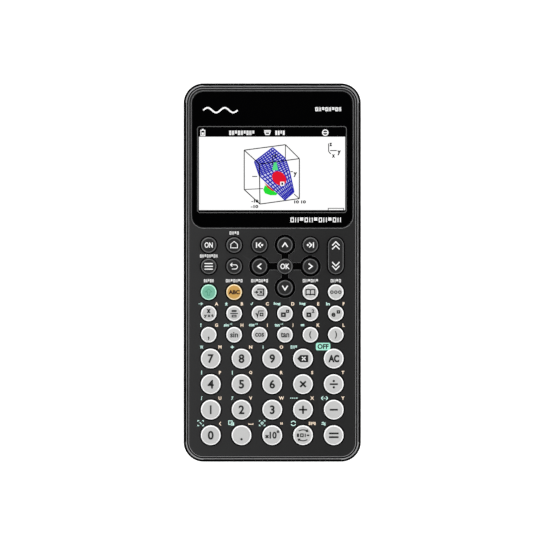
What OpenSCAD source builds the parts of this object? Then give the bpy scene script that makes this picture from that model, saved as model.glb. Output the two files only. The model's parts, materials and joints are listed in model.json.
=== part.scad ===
// Handheld graphing calculator: a front and a rear case shell around a colour display, round keys
// on a rubber key sheet, one main board, and four cylindrical cells behind a hooked cover.
// Millimetres. X runs across, Y towards the display end, Z up out of the keys. z = 0 is the desk.

/* [Case] */
// Width across the case
body_w = 85; // [85:0.5:87]
// Length from the key end to the display end
body_l = 181.5; // [181.5:0.5:184]
// Radius of the four outer corners
corner_r = 9.5; // [9.5:0.25:10]
// Thickness of the sides
wall_t = 2.6; // [2.4:0.1:2.6]
// Thickness of the front panel
panel_t = 2.5; // [2.4:0.1:2.6]
// Thickness of the rear case's floor
floor_t = 1.8; // [1.6:0.1:2]
// Height of the joint between the two shells
seam_z = 8.1; // [7.9:0.1:8.2]
// Height that the rubber feet hold the back off the desk
foot_h = 0.7; // [0.6:0.1:0.8]

/* [Front edge] */
// Radius that rounds the outer shoulder
shoulder_r = 1.3; // [1.1:0.1:1.4]
// How far the shoulder lies below the panel
shoulder_drop = 0.9; // [0.8:0.1:1]
// Distance from the outer edge to the groove
groove_in = 1.7; // [1.5:0.1:1.8]
// Width of the groove
groove_w = 0.7; // [0.5:0.1:0.8]

/* [Display] */
// Width of the display window
glass_w = 77.2; // [77:0.1:77.3]
// Length of the display window
glass_l = 65.5; // [65:0.1:65.6]
// Thickness of the display window
glass_t = 1.4; // [1.3:0.1:1.5]
// Width of the display module
display_w = 74.8; // [74:0.2:74.8]
// Length of the display module
display_l = 45; // [44:0.5:45]
// Thickness of the display module
display_t = 2.1; // [2:0.1:2.3]
// Height of the display's middle above the case's middle
display_y = 49.6; // [49:0.1:50]

/* [Keys] */
// Diameter of a small key
small_d = 7.4; // [7.2:0.1:7.5]
// Diameter of a large key
large_d = 9.4; // [9.2:0.1:9.5]
// Gap between a key and its hole
key_gap = 0.3; // [0.25:0.05:0.35]
// Height of the keys above the panel
key_rise = 1.1; // [0.9:0.1:1.3]
// How far a key can be pressed
key_travel = 1.2; // [1:0.1:1.2]
// Spacing of the small keys across
small_pitch = 12.17; // [12:0.01:12.2]
// Spacing of the small keys' rows
small_step = 10.2; // [10.1:0.05:10.25]
// Spacing of the large keys across
large_pitch = 14.72; // [14.6:0.01:14.75]
// Spacing of the large keys' rows
large_step = 12.23; // [12.1:0.01:12.25]
// Diameter of the wells round the arrow keys
well_d = 10; // [9.8:0.1:10.2]
// Width of the channels from the wells to the middle key
channel_w = 3.3; // [3:0.1:3.5]
// Length of the page rocker
rocker_l = 17.6; // [17.4:0.1:17.6]

/* [Power] */
// Diameter of one cell
cell_d = 10.5; // [10.4:0.1:10.5]
// Length of one cell with its button
cell_l = 44.5; // [44.3:0.1:44.5]
// Spacing of the cells
cell_pitch = 11.6; // [11.5:0.1:11.7]
// Thickness of the battery cover
cover_t = 1.5; // [1.4:0.1:1.6]

/* [Hidden] */
$fn = 96;
touch = 0.05;        // clearance between faces that meet
fit = 0.1;           // clearance between pieces that slot together
cut = 1;             // how far a cutting shape runs past a face

// heights, from the desk up
back_z = foot_h;
cell_z = back_z + cover_t + fit + cell_d / 2;
roof_z = cell_z + cell_d / 2 + fit;
roof_t = 0.8;
display_z = roof_z + roof_t + touch;
glass_z = display_z + display_t + fit;
seat_z = glass_z - touch;
top_z = glass_z + glass_t + touch;
under_z = top_z - panel_t;
shoulder_z = top_z - shoulder_drop;
key_z = top_z + key_rise;
seam_gap = 0.2;
rear_top_z = seam_z - seam_gap / 2;
front_low_z = seam_z + seam_gap / 2;
flange_z = under_z - fit;
flange_t = 0.9;
flange_out = 1.1;    // how far a key's flange stands out under the panel
plunger_z = flange_z - flange_t - 0.6;
dome_z = plunger_z - touch;
dome_h = key_travel + 0.45;
sheet_t = 1;
sheet_z = dome_z - dome_h - sheet_t;
board_t = 1.6;
board_z = sheet_z - board_t;

// places in the plan
half_w = body_w / 2;
half_l = body_l / 2;
arc_x = half_w - corner_r;
arc_y = half_l - corner_r;
glass_y = half_l - 3.85 - glass_l / 2;
glass_r = 5.7;
nav_y = 2.95;        // row of the middle navigation key
shift_y = -9.4;      // row of the two shift keys
number_y = -41.2;    // first row of large keys
pad_reach = 10.25;   // from the middle navigation key to the up and down keys
nav_x = small_pitch / 2;
rocker_x = small_pitch * 2.5;
rocker_y = nav_y + small_step / 2;
rocker_pivot_z = under_z - 0.8;
rocker_pin_r = 0.7;
rocker_pin_l = 12;
rocker_ear_x = 5.6;
rocker_flange_out = 0.8;
rocker_reach = (rocker_l - small_d) / 2;  // from the rocker's middle to each end's centre
cells_y = 49.8;
bay_w = 4 * cell_pitch + 2;
bay_l = cell_l + 6;
bay_wall = 1;
cover_w = 53.4;
cover_low_y = 20.6;
cover_pin_y = 78;    // axis of the cover's rounded, hooked edge
cover_gap = 0.15;
hook_x = 16;
hook_w = 6;
latch_w = 10;
latch_top_z = 6;
scoop_r = 7.2;
plate_t = 0.4;
bay_y = bay_l / 2;
screw_places = [for (s = [-1, 1], p = [[36, -3.3], [35.4, 83.6], [35.4, -83.6]]) [s * p.x, p.y]];
foot_places = [for (x = [-33.5, 33.5], y = [-72, 72]) [x, y]];
peg_places = [for (x = [-22, 0, 22], y = [-71.8, -47.3]) [x, y]];
foot_d = 8;
foot_sink = 0.5;
screw_seat_z = 5;    // where the screw heads bear
screw_r = 1;
screw_head_r = 2;
screw_head_t = 1.4;
socket_x = 29;
socket_w = 7.6;
socket_h = 2.6;
connector_h = 1.4;   // height of the display cable's connector
reset_x = 12.2;
reset_y = -14.6;

sheet_w = 67.4;
sheet_low_y = -82.5;
sheet_high_y = 18.2;
dome_r = 3.2;

dark = [0.17, 0.17, 0.175];
light = [0.8, 0.8, 0.79];
mint = [0.5, 0.77, 0.67];
amber = [0.9, 0.66, 0.36];

function small_x(column) = (column - 2.5) * small_pitch;
function large_x(column) = (column - 2) * large_pitch;

// every push key: its name, x, y, diameter and colour
KEYS = [
    ["key_on", small_x(0), nav_y + small_step, small_d, dark],
    ["key_home", small_x(1), nav_y + small_step, small_d, dark],
    ["key_line_start", small_x(2), nav_y + small_step, small_d, dark],
    ["key_up", nav_x, nav_y + pad_reach, small_d, dark],
    ["key_line_end", small_x(4), nav_y + small_step, small_d, dark],
    ["key_menu", small_x(0), nav_y, small_d, dark],
    ["key_back", small_x(1), nav_y, small_d, dark],
    ["key_left", nav_x - small_pitch, nav_y, small_d, dark],
    ["key_ok", nav_x, nav_y, small_d, dark],
    ["key_right", nav_x + small_pitch, nav_y, small_d, dark],
    ["key_shift", small_x(0), shift_y, small_d, mint],
    ["key_alpha", small_x(1), shift_y, small_d, amber],
    ["key_variable", small_x(2), shift_y, small_d, light],
    ["key_down", nav_x, nav_y - pad_reach, small_d, dark],
    ["key_catalog", small_x(4), shift_y, small_d, light],
    ["key_tools", small_x(5), shift_y, small_d, light],
    ["key_x", small_x(0), shift_y - small_step, small_d, light],
    ["key_fraction", small_x(1), shift_y - small_step, small_d, light],
    ["key_root", small_x(2), shift_y - small_step, small_d, light],
    ["key_power", small_x(3), shift_y - small_step, small_d, light],
    ["key_square", small_x(4), shift_y - small_step, small_d, light],
    ["key_exponential", small_x(5), shift_y - small_step, small_d, light],
    ["key_comma", small_x(0), shift_y - 2 * small_step, small_d, light],
    ["key_sin", small_x(1), shift_y - 2 * small_step, small_d, light],
    ["key_cos", small_x(2), shift_y - 2 * small_step, small_d, light],
    ["key_tan", small_x(3), shift_y - 2 * small_step, small_d, light],
    ["key_open_bracket", small_x(4), shift_y - 2 * small_step, small_d, light],
    ["key_close_bracket", small_x(5), shift_y - 2 * small_step, small_d, light],
    ["key_7", large_x(0), number_y, large_d, light],
    ["key_8", large_x(1), number_y, large_d, light],
    ["key_9", large_x(2), number_y, large_d, light],
    ["key_delete", large_x(3), number_y, large_d, light],
    ["key_clear", large_x(4), number_y, large_d, light],
    ["key_4", large_x(0), number_y - large_step, large_d, light],
    ["key_5", large_x(1), number_y - large_step, large_d, light],
    ["key_6", large_x(2), number_y - large_step, large_d, light],
    ["key_multiply", large_x(3), number_y - large_step, large_d, light],
    ["key_divide", large_x(4), number_y - large_step, large_d, light],
    ["key_1", large_x(0), number_y - 2 * large_step, large_d, light],
    ["key_2", large_x(1), number_y - 2 * large_step, large_d, light],
    ["key_3", large_x(2), number_y - 2 * large_step, large_d, light],
    ["key_plus", large_x(3), number_y - 2 * large_step, large_d, light],
    ["key_minus", large_x(4), number_y - 2 * large_step, large_d, light],
    ["key_0", large_x(0), number_y - 3 * large_step, large_d, light],
    ["key_point", large_x(1), number_y - 3 * large_step, large_d, light],
    ["key_times_ten", large_x(2), number_y - 3 * large_step, large_d, light],
    ["key_format", large_x(3), number_y - 3 * large_step, large_d, light],
    ["key_enter", large_x(4), number_y - 3 * large_step, large_d, light]
];

// ---------- shapes that repeat ----------

// A rounded rectangle about the middle, with true arcs at its corners
module rounded(w, l, r) {
    square([w - 2 * r, l], center = true);
    square([w, l - 2 * r], center = true);
    for (x = [-1, 1], y = [-1, 1])
        translate([x * (w / 2 - r), y * (l / 2 - r)]) circle(r);
}

// A box from its lowest corner to its highest
module box(low, high) {
    translate(low) cube(high - low);
}

// The case outline, set in by a distance, between two heights
module outline(inset, low, high) {
    translate([0, 0, low])
        linear_extrude(high - low)
            rounded(body_w - 2 * inset, body_l - 2 * inset, corner_r - inset);
}

// Carries a profile round the case outline. The profile's x runs outwards from the corner arcs'
// centres, and its y is the height.
module swept() {
    for (s = [0, 1]) mirror([s, 0, 0]) {
        for (t = [0, 1]) mirror([0, t, 0])
            translate([arc_x, arc_y, 0]) rotate_extrude(angle = 90) children();
        translate([arc_x, arc_y, 0]) rotate([90, 0, 0]) linear_extrude(2 * arc_y) children();
    }
    for (t = [0, 1]) mirror([0, t, 0])
        translate([-arc_x, arc_y, 0]) rotate([90, 0, 90]) linear_extrude(2 * arc_x) children();
}

// A profile from x = 0 out to a width, between two heights, with its top outer corner rounded
module rounded_step(w, low, high, r) {
    translate([0, low]) square([w, high - r - low]);
    translate([0, low]) square([w - r, high - low]);
    translate([w - r, high - r]) circle(r);
}

// A pill standing up: the profile is turned at both ends and drawn straight between them
module pill(half_straight) {
    for (s = [0, 1]) mirror([0, s, 0])
        translate([0, half_straight, 0]) rotate_extrude(angle = 180) children();
    for (s = [0, 1]) mirror([s, 0, 0])
        translate([0, half_straight, 0]) rotate([90, 0, 0]) linear_extrude(2 * half_straight) children();
}

module at_each(places) {
    for (p = places) translate([p.x, p.y, 0]) children();
}

module rod(r, low, high) {
    translate([0, 0, low]) cylinder(r = r, h = high - low);
}

// ---------- front case ----------

module front_profile() {
    plateau_w = corner_r - groove_in - groove_w;
    difference() {
        union() {
            rounded_step(corner_r, front_low_z, shoulder_z, shoulder_r);
            rounded_step(plateau_w, front_low_z, top_z, 0.35);
        }
        translate([plateau_w, shoulder_z - 0.6]) square([groove_w, cut]);
    }
}

module key_holes() {
    for (key = KEYS)
        translate([key[1], key[2], 0]) rod(key[3] / 2 + key_gap, under_z - cut, top_z + cut);
    translate([rocker_x, rocker_y, under_z - cut]) linear_extrude(panel_t + 2 * cut) {
        square([small_d + 2 * key_gap, 2 * rocker_reach], center = true);
        for (s = [-1, 1]) translate([0, s * rocker_reach]) circle(small_d / 2 + key_gap);
    }
}

// Shallow wells round the four arrow keys, and the channels that join them to the middle key
module arrow_wells() {
    depth = 0.5;
    arms = [[0, pad_reach], [0, -pad_reach], [small_pitch, 0], [-small_pitch, 0]];
    translate([nav_x, nav_y, top_z - depth]) linear_extrude(depth + cut) {
        for (arm = arms) translate(arm) circle(well_d / 2);
        square([channel_w, 2 * pad_reach], center = true);
        square([2 * small_pitch, channel_w], center = true);
    }
}

// Grooves along both sides that a slide-on cover runs in
module side_rails() {
    depth = 0.9;
    low = front_low_z + 2;
    for (s = [-1, 1])
        box([s * half_w - depth, 2 - arc_y, low], [s * half_w + depth, arc_y, low + 1.2]);
}

module socket_slot() {
    gap = 0.4;
    box([socket_x - socket_w / 2 - gap, half_l - wall_t - cut, sheet_z - gap],
        [socket_x + socket_w / 2 + gap, half_l + cut, sheet_z + socket_h + gap]);
}

// Two ears under the panel that carry the rocker's pins, each open at the bottom
module rocker_ears() {
    ear_t = 1.2;
    ear_w = 3.6;
    hole_r = rocker_pin_r + 0.08;
    low = rocker_pivot_z - 1.3;
    for (s = [-1, 1]) translate([rocker_x + s * rocker_ear_x, rocker_y, 0]) difference() {
        box([-ear_t / 2, -ear_w / 2, low], [ear_t / 2, ear_w / 2, under_z + touch]);
        translate([-ear_t, 0, rocker_pivot_z]) rotate([0, 90, 0]) cylinder(r = hole_r, h = 2 * ear_t);
        box([-ear_t, -hole_r, low - cut], [ear_t, hole_r, rocker_pivot_z]);
    }
}

module front_screw_posts() {
    at_each(screw_places) difference() {
        rod(2, front_low_z, under_z + touch);
        rod(screw_r + touch, front_low_z - cut, under_z - 1);
    }
}

module front_case() {
    color("dimgray") {
        difference() {
            union() {
                swept() front_profile();
                box([-arc_x, -arc_y, front_low_z], [arc_x, arc_y, top_z]);
            }
            outline(wall_t, front_low_z - cut, under_z);
            translate([0, glass_y, seat_z]) linear_extrude(glass_t + cut)
                rounded(glass_w + 2 * fit, glass_l + 2 * fit, glass_r + fit);
            translate([0, display_y, (under_z + seat_z) / 2])
                cube([display_w + 4 * fit, display_l + 4 * fit, panel_t], center = true);
            key_holes();
            arrow_wells();
            side_rails();
            socket_slot();
        }
        rocker_ears();
        front_screw_posts();
    }
}

// ---------- rear case ----------

module rear_profile() {
    r = 3;
    translate([0, back_z + r]) square([corner_r, rear_top_z - back_z - r]);
    translate([0, back_z]) square([corner_r - r, rear_top_z - back_z]);
    translate([corner_r - r, back_z + r]) circle(r);
}

// The lip that stands inside the front case's sides
module rear_lip() {
    inset = wall_t + 0.15;
    lip_t = 1;
    difference() {
        union() {
            outline(wall_t - touch, rear_top_z - 2, rear_top_z);
            outline(inset, rear_top_z - touch, rear_top_z + 1.4);
        }
        outline(inset + lip_t, rear_top_z - 3, rear_top_z + 2);
    }
}

module rear_floor() {
    difference() {
        union() {
            swept() rear_profile();
            box([-arc_x, -arc_y, back_z], [arc_x, arc_y, rear_top_z]);
        }
        outline(wall_t, back_z + floor_t, rear_top_z + cut);
    }
}

// Everything that is cut away for the cells, their cover, its hooks and its latch
module bay_cuts() {
    rebate_z = back_z + cover_t + fit;
    box([-bay_w / 2, cells_y - bay_y, back_z - cut], [bay_w / 2, cells_y + bay_y, roof_z]);
    box([-cover_w / 2 - cover_gap, cover_low_y - cover_gap, back_z - cut],
        [cover_w / 2 + cover_gap, cover_pin_y + cover_t / 2 + cover_gap, rebate_z]);
    for (s = [-1, 1])
        box([s * hook_x - hook_w / 2 - 0.4, cover_pin_y - 2.6, rebate_z - touch],
            [s * hook_x + hook_w / 2 + 0.4, cover_pin_y + 3.2, rebate_z + 2.4]);
    box([-latch_w / 2 - 0.6, cover_low_y + 1.7, rebate_z - touch],
        [latch_w / 2 + 0.6, cover_low_y + 5, latch_top_z + 1]);
    // slots for the two lead-out strips
    for (s = [-1, 1])
        box([s * cell_pitch * 1.5 - 1.4, cells_y - bay_y - 2, sheet_z - 0.2],
            [s * cell_pitch * 1.5 + 1.4, cells_y - bay_y + cut, sheet_z + 0.6]);
}

module bay_walls() {
    box([-bay_w / 2 - bay_wall, cells_y - bay_y - bay_wall, back_z],
        [bay_w / 2 + bay_wall, cells_y + bay_y + bay_wall, roof_z + roof_t]);
    // thicker floor round the cover, with the rebate that it closes on
    rim = 2.3;
    box([-cover_w / 2 - rim, cover_low_y - 3, back_z],
        [cover_w / 2 + rim, cover_pin_y + 4.4, back_z + cover_t + 1.2]);
}

// Ribs that hang from the roof between the cells
module cell_ribs() {
    rib_t = 0.8;
    rib_l = 34;
    for (i = [-1 : 1])
        box([i * cell_pitch - rib_t / 2, cells_y - rib_l / 2, roof_z - 3.2],
            [i * cell_pitch + rib_t / 2, cells_y + rib_l / 2, roof_z + touch]);
}

module rear_case() {
    color("dimgray") difference() {
        union() {
            difference() {
                union() {
                    rear_floor();
                    bay_walls();
                }
                bay_cuts();
            }
            rear_lip();
            cell_ribs();
            at_each(screw_places) rod(3, back_z + touch, rear_top_z);
            at_each(peg_places) rod(1.5, back_z + touch, board_z);
        }
        at_each(screw_places) {
            rod(screw_head_r + 0.2, back_z - cut, screw_seat_z);
            rod(screw_r + 0.2, screw_seat_z - cut, rear_top_z + cut);
        }
        at_each(foot_places) rod(foot_d / 2 + touch, back_z - cut, back_z + foot_sink);
        // hole to reach the reset switch with a pin
        translate([reset_x, reset_y, 0]) rod(0.8, back_z - cut, back_z + floor_t + cut);
        // finger scoop at the cover's latch
        translate([0, cover_low_y, back_z - scoop_r + 1]) rotate([90, 0, 0]) cylinder(r = scoop_r, h = 4);
    }
}

// ---------- battery cover and power ----------

// Flush cover. Its top edge is a full round that turns in the rebate, held by two hooks.
module battery_cover() {
    mid_z = back_z + cover_t / 2;
    hook_z = back_z + cover_t + 0.25;
    color("dimgray") {
        difference() {
            union() {
                box([-cover_w / 2, cover_low_y, back_z], [cover_w / 2, cover_pin_y, back_z + cover_t]);
                translate([-cover_w / 2, cover_pin_y, mid_z]) rotate([0, 90, 0])
                    cylinder(r = cover_t / 2, h = cover_w);
            }
            // grip lines on the outside
            for (i = [0 : 4]) translate([0, cover_low_y + 4 + 1.6 * i, back_z])
                cube([18, 0.7, 0.6], center = true);
        }
        for (s = [-1, 1]) translate([s * hook_x, 0, 0]) {
            box([-hook_w / 2, cover_pin_y - 1.6, back_z + cover_t - touch],
                [hook_w / 2, cover_pin_y - 0.4, hook_z + 0.9]);
            box([-hook_w / 2, cover_pin_y - 1.6, hook_z], [hook_w / 2, cover_pin_y + 2, hook_z + 0.9]);
        }
        box([-latch_w / 2, cover_low_y + 2.6, back_z + cover_t - touch],
            [latch_w / 2, cover_low_y + 3.4, latch_top_z]);
    }
}

// One cell, lying along Y with its button towards +Y
module cell() {
    button_l = 0.9;
    rotate([90, 0, 0]) {
        translate([0, 0, -cell_l / 2 + button_l]) cylinder(d = cell_d, h = cell_l - button_l);
        translate([0, 0, -cell_l / 2]) cylinder(d = 3.8, h = button_l + touch);
    }
}

// The cells point alternate ways. Each button end meets a flat plate, so the flat end is on a spring.
module at_each_cell() {
    for (i = [0 : 3])
        translate([(i - 1.5) * cell_pitch, cells_y, cell_z]) rotate(180 * (i % 2)) children();
}

module batteries() {
    color("olivedrab") at_each_cell() translate([0, bay_y - plate_t - 2 * fit - cell_l / 2, 0]) cell();
}

function coil_r(t) = 3.4 - 1.1 * t;

// A tapered wire coil along +Z, closed at both ends
module coil(length, wire_r, turns) {
    sides = 6;
    rings = 10 * turns;
    points = [
        for (i = [0 : rings]) let (t = i / rings, a = 360 * turns * t)
            for (j = [0 : sides - 1]) let (b = 360 * j / sides, r = coil_r(t) + wire_r * cos(b))
                [r * cos(a), r * sin(a), wire_r + (length - 2 * wire_r) * t + wire_r * sin(b)]
    ];
    around = [
        for (i = [0 : rings - 1]) for (j = [0 : sides - 1]) let (k = (j + 1) % sides)
            [i * sides + j, i * sides + k, (i + 1) * sides + k, (i + 1) * sides + j]
    ];
    first = [for (j = [sides - 1 : -1 : 0]) j];
    last = [for (j = [0 : sides - 1]) rings * sides + j];
    polyhedron(points = points, faces = concat(around, [first], [last]));
}

module battery_contacts() {
    spring_l = bay_l - 2 * plate_t - 4 * fit - cell_l;
    plate_h = 8.6;
    end_in = bay_y - fit;
    color("silver") {
        at_each_cell() translate([0, -end_in + plate_t, 0]) rotate([-90, 0, 0]) coil(spring_l, 0.35, 3);
        // plates that join two cells: two at the display end, one in the middle of the key end
        for (p = [[-cell_pitch, 1], [cell_pitch, 1], [0, -1]])
            translate([p.x, cells_y + p.y * (end_in - plate_t / 2), cell_z])
                cube([cell_pitch + 8, plate_t, plate_h], center = true);
        // a single plate at each outer cell of the key end, with its lead-out strip to the board
        for (s = [-1, 1]) translate([s * cell_pitch * 1.5, cells_y - end_in, 0]) {
            box([-4, 0, cell_z - plate_h / 2], [4, plate_t, cell_z + plate_h / 2]);
            box([-1, -5.4, sheet_z + touch], [1, plate_t, sheet_z + touch + 0.3]);
        }
    }
}

// ---------- display ----------

module display_window() {
    color("black") translate([0, glass_y, glass_z]) linear_extrude(glass_t)
        rounded(glass_w, glass_l, glass_r);
}

// Framed panel, its front glass, and the flat cable down to the board
module display_module() {
    frame_t = display_t - 0.4;
    cable_w = 20;
    cable_t = 0.2;
    cable_y = 20;
    cable_z = display_z + 0.5;
    low_y = display_y - display_l / 2;
    color("lightsteelblue") {
        box([-display_w / 2, low_y, display_z], [display_w / 2, low_y + display_l, display_z + frame_t]);
        box([-display_w / 2 + 0.8, low_y + 1.8, display_z + frame_t - touch],
            [display_w / 2 - 0.8, low_y + display_l - 0.8, display_z + display_t]);
        box([-cable_w / 2, cable_y, cable_z], [cable_w / 2, low_y + touch, cable_z + cable_t]);
        box([-cable_w / 2, cable_y, sheet_z + connector_h + touch],
            [cable_w / 2, cable_y + cable_t, cable_z + touch]);
    }
}

// ---------- key sheet and main board ----------

module dome_places() {
    for (key = KEYS) translate([key[1], key[2], 0]) children();
    for (s = [-1, 1]) translate([rocker_x, rocker_y + s * rocker_reach, 0]) children();
}

module key_membrane() {
    color("whitesmoke") difference() {
        union() {
            translate([0, (sheet_low_y + sheet_high_y) / 2, sheet_z]) linear_extrude(sheet_t)
                rounded(sheet_w, sheet_high_y - sheet_low_y, 3);
            dome_places() translate([0, 0, sheet_z + sheet_t - touch])
                cylinder(r1 = dome_r, r2 = 2, h = dome_h + touch);
        }
        dome_places() translate([0, 0, sheet_z - cut])
            cylinder(r1 = dome_r - 0.3, r2 = 1.5, h = dome_h + cut + 0.4);
    }
}

// One board: the key field, and an arm beside the cells up to the socket
module main_board() {
    board_w = 66;
    low_y = -86;
    high_y = 21.5;
    arm_x = 26;
    end_y = half_l - wall_t - 1.5;
    top = sheet_z;
    shell_t = 0.4;
    color("darkgreen") {
        box([-board_w / 2, low_y, board_z], [board_w / 2, high_y, top]);
        box([arm_x, high_y - cut, board_z], [board_w / 2, end_y, top]);
        // parts on the underside: processor, memory, power inductor, crystal and reset switch
        box([-17, -36, board_z - 1.2], [-3, -22, board_z + touch]);
        box([4, -34, board_z - 1], [14, -22, board_z + touch]);
        box([-28, -8, board_z - 2.4], [-21, -1, board_z + touch]);
        box([-12, -16, board_z - 1.6], [-1, -12, board_z + touch]);
        box([reset_x - 2, reset_y - 1.5, back_z + floor_t + 2.6],
            [reset_x + 2, reset_y + 1.5, board_z + touch]);
        // cable connector at the display's edge of the board
        box([-12, 18.8, top - touch], [12, 21.3, top + connector_h]);
        // socket shell, open at the display end
        translate([socket_x, half_l, top]) difference() {
            box([-socket_w / 2, -7, -touch], [socket_w / 2, -0.6, socket_h]);
            box([-socket_w / 2 + shell_t, -6, shell_t], [socket_w / 2 - shell_t, 0, socket_h - shell_t]);
        }
    }
}

// ---------- fastenings and feet ----------

module case_screws() {
    color("silver") at_each(screw_places) difference() {
        union() {
            rod(screw_head_r, screw_seat_z - screw_head_t, screw_seat_z);
            rod(screw_r, screw_seat_z - touch, under_z - 1.4);
        }
        // cross recess
        translate([0, 0, screw_seat_z - screw_head_t]) {
            cube([2.4, 0.5, screw_head_t], center = true);
            cube([0.5, 2.4, screw_head_t], center = true);
        }
    }
}

module rubber_feet() {
    r = 0.4;
    color("black") at_each(foot_places) translate([0, 0, back_z + foot_sink]) mirror([0, 0, 1])
        rotate_extrude() rounded_step(foot_d / 2, 0, foot_sink + foot_h, r);
}

// ---------- keys ----------

// Half section of a round key: cap with a rounded rim, flange under the panel, and plunger
module key_section(d) {
    rounded_step(d / 2, flange_z - touch, key_z, 0.6);
    translate([0, flange_z - flange_t]) square([d / 2 + flange_out, flange_t]);
    translate([0, plunger_z]) square([1.8, flange_t]);
}

module push_key(key) {
    color(key[4]) translate([key[1], key[2], 0]) rotate_extrude() key_section(key[3]);
}

// One pill key over two domes. It rocks on a pair of pins at its middle.
module page_rocker() {
    color(dark) translate([rocker_x, rocker_y, 0]) {
        pill(rocker_reach) {
            union() {
                rounded_step(small_d / 2, plunger_z, key_z, 0.6);
                translate([0, plunger_z]) square([small_d / 2 + rocker_flange_out, 0.6]);
            }
        }
        translate([-rocker_pin_l / 2, 0, rocker_pivot_z]) rotate([0, 90, 0])
            cylinder(r = rocker_pin_r, h = rocker_pin_l);
    }
}

front_case();
rear_case();
battery_cover();
display_window();
display_module();
key_membrane();
main_board();
batteries();
battery_contacts();
case_screws();
rubber_feet();
page_rocker();
for (key = KEYS)
    push_key(key);
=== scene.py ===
import json
import math

import bmesh
import bpy
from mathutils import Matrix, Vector


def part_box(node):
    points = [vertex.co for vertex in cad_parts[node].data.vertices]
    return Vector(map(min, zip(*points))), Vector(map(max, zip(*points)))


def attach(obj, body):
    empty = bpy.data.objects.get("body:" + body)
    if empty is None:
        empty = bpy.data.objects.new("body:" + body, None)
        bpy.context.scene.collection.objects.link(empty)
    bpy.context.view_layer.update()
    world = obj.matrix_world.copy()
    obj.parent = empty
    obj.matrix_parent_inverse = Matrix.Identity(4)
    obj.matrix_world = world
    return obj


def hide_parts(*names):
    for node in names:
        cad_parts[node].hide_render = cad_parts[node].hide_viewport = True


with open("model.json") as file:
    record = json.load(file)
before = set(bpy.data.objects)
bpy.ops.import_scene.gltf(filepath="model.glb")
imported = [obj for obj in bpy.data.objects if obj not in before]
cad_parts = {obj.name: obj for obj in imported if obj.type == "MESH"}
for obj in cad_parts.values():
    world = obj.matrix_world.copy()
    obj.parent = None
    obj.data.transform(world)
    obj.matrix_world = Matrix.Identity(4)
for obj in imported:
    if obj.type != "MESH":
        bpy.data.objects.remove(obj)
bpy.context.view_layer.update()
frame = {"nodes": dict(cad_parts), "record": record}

MM = 0.001
INK = 0.015          # how far a print stands proud
OVERCUT = 1.0        # how far a cutting shape runs past a face


def node_box(node):
    """A node's lowest and highest corners, in millimetres."""
    low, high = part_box(node)
    return low / MM, high / MM


# ---------- dimensions: the boxes come from the frame, and the rest are the part's own sizes ----------

front_low, front_high = node_box("front_case")
rear_low = node_box("rear_case")[0]
glass_low, glass_high = node_box("display_window")
cover_low, cover_high = node_box("battery_cover")
rocker_low, rocker_high = node_box("page_rocker")
small_low, small_high = node_box("key_ok")
large_low, large_high = node_box("key_5")
feet_high = node_box("rubber_feet")[1]
cell_low, cell_high = node_box("batteries")
screw_low, screw_high = node_box("case_screws")

HALF_W = front_high.x
HALF_L = front_high.y
CORNER_R = 9.5
WALL = 2.6
PANEL = front_high.z            # the face that the keys stand out of
UNDER = PANEL - 2.5             # the panel's underside
SHOULDER = PANEL - 0.9          # the top of the rim
SEAT = glass_low.z - 0.05
FRONT_SEAM = front_low.z
BACK = rear_low.z
REAR_SEAM = FRONT_SEAM - 0.2
FLOOR_TOP = BACK + 1.8
SINK = 0.05                     # how far one solid of a shell runs into another
KEY_TOP = small_high.z
KEY_FLANGE_OUT = 1.1
KEY_FLANGE_T = 0.9
KEY_GAP = 0.3
SMALL_R = (small_high.x - small_low.x) / 2 - KEY_FLANGE_OUT
LARGE_R = (large_high.x - large_low.x) / 2 - KEY_FLANGE_OUT
CELL_PITCH = 11.6
SCREW_SEAT = 5.0
SCREW_PLACES = [(side * x, y) for side in (-1, 1) for x, y in ((36, -3.3), (35.4, 83.6), (35.4, -83.6))]
FOOT_PLACES = [(x, y) for x in (-33.5, 33.5) for y in (-72, 72)]
HOOK_XS = (-16, 16)
PLUNGER_R = 1.8
COVER_T = 1.5
ROOF = cell_high.z + 0.1        # the battery bay's

GROOVE_IN = 1.7
GROOVE_W = 0.7
GROOVE_FLOOR = SHOULDER - 0.6
GLASS_CORNER_R = 5.7
SHOULDER_R = 1.3
EDGE_R = 0.35
INNER_EDGE_R = 0.3
POCKET_MOUTH_R = 0.25
WELL_MOUTH_R = 0.25
HOLE_MOUTH_R = 0.35


MIDDLES = {}


def middle(node):
    """The middle of a node's box, worked out once."""
    if node not in MIDDLES:
        low, high = node_box(node)
        MIDDLES[node] = ((low.x + high.x) / 2, (low.y + high.y) / 2)
    return MIDDLES[node]


def half_size(node):
    low, high = node_box(node)
    return (high.x - low.x) / 2, (high.y - low.y) / 2


NAV = middle("key_ok")
SIDE_REACH = middle("key_right")[0] - NAV[0]
PAD_REACH = middle("key_up")[1] - NAV[1]
GLASS_MID = middle("display_window")
ROCKER = middle("page_rocker")
ROCKER_REACH = (rocker_high.y - rocker_low.y - 2 * (SMALL_R + 0.8)) / 2
KEYS = [n for n in frame["nodes"] if n.startswith("key_") and n != "key_membrane"]


# ---------- outlines ----------

def arc(centre, r, start, end, steps):
    """Points along an arc; the angles are in degrees."""
    out = []
    for i in range(steps + 1):
        a = math.radians(start + (end - start) * i / steps)
        out.append((centre[0] + r * math.cos(a), centre[1] + r * math.sin(a)))
    return out


def circle(r, steps=64):
    return arc((0, 0), r, 0, 360, steps)[:-1]


def round_rect(half_w, half_l, r, steps=16):
    out = []
    for quarter, (x, y) in enumerate(((1, 1), (-1, 1), (-1, -1), (1, -1))):
        start = 90 * quarter
        out += arc((x * (half_w - r), y * (half_l - r)), r, start, start + 90, steps)
    return out


def pill(r, half_straight, steps):
    return arc((0, half_straight), r, 0, 180, steps) + arc((0, -half_straight), r, 180, 360, steps)


def rect_shape(half_w, half_l, r, steps):
    """The function that gives a rounded rectangle at each growth."""
    return lambda grow: round_rect(half_w + grow, half_l + grow, r + grow, steps)


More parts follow.
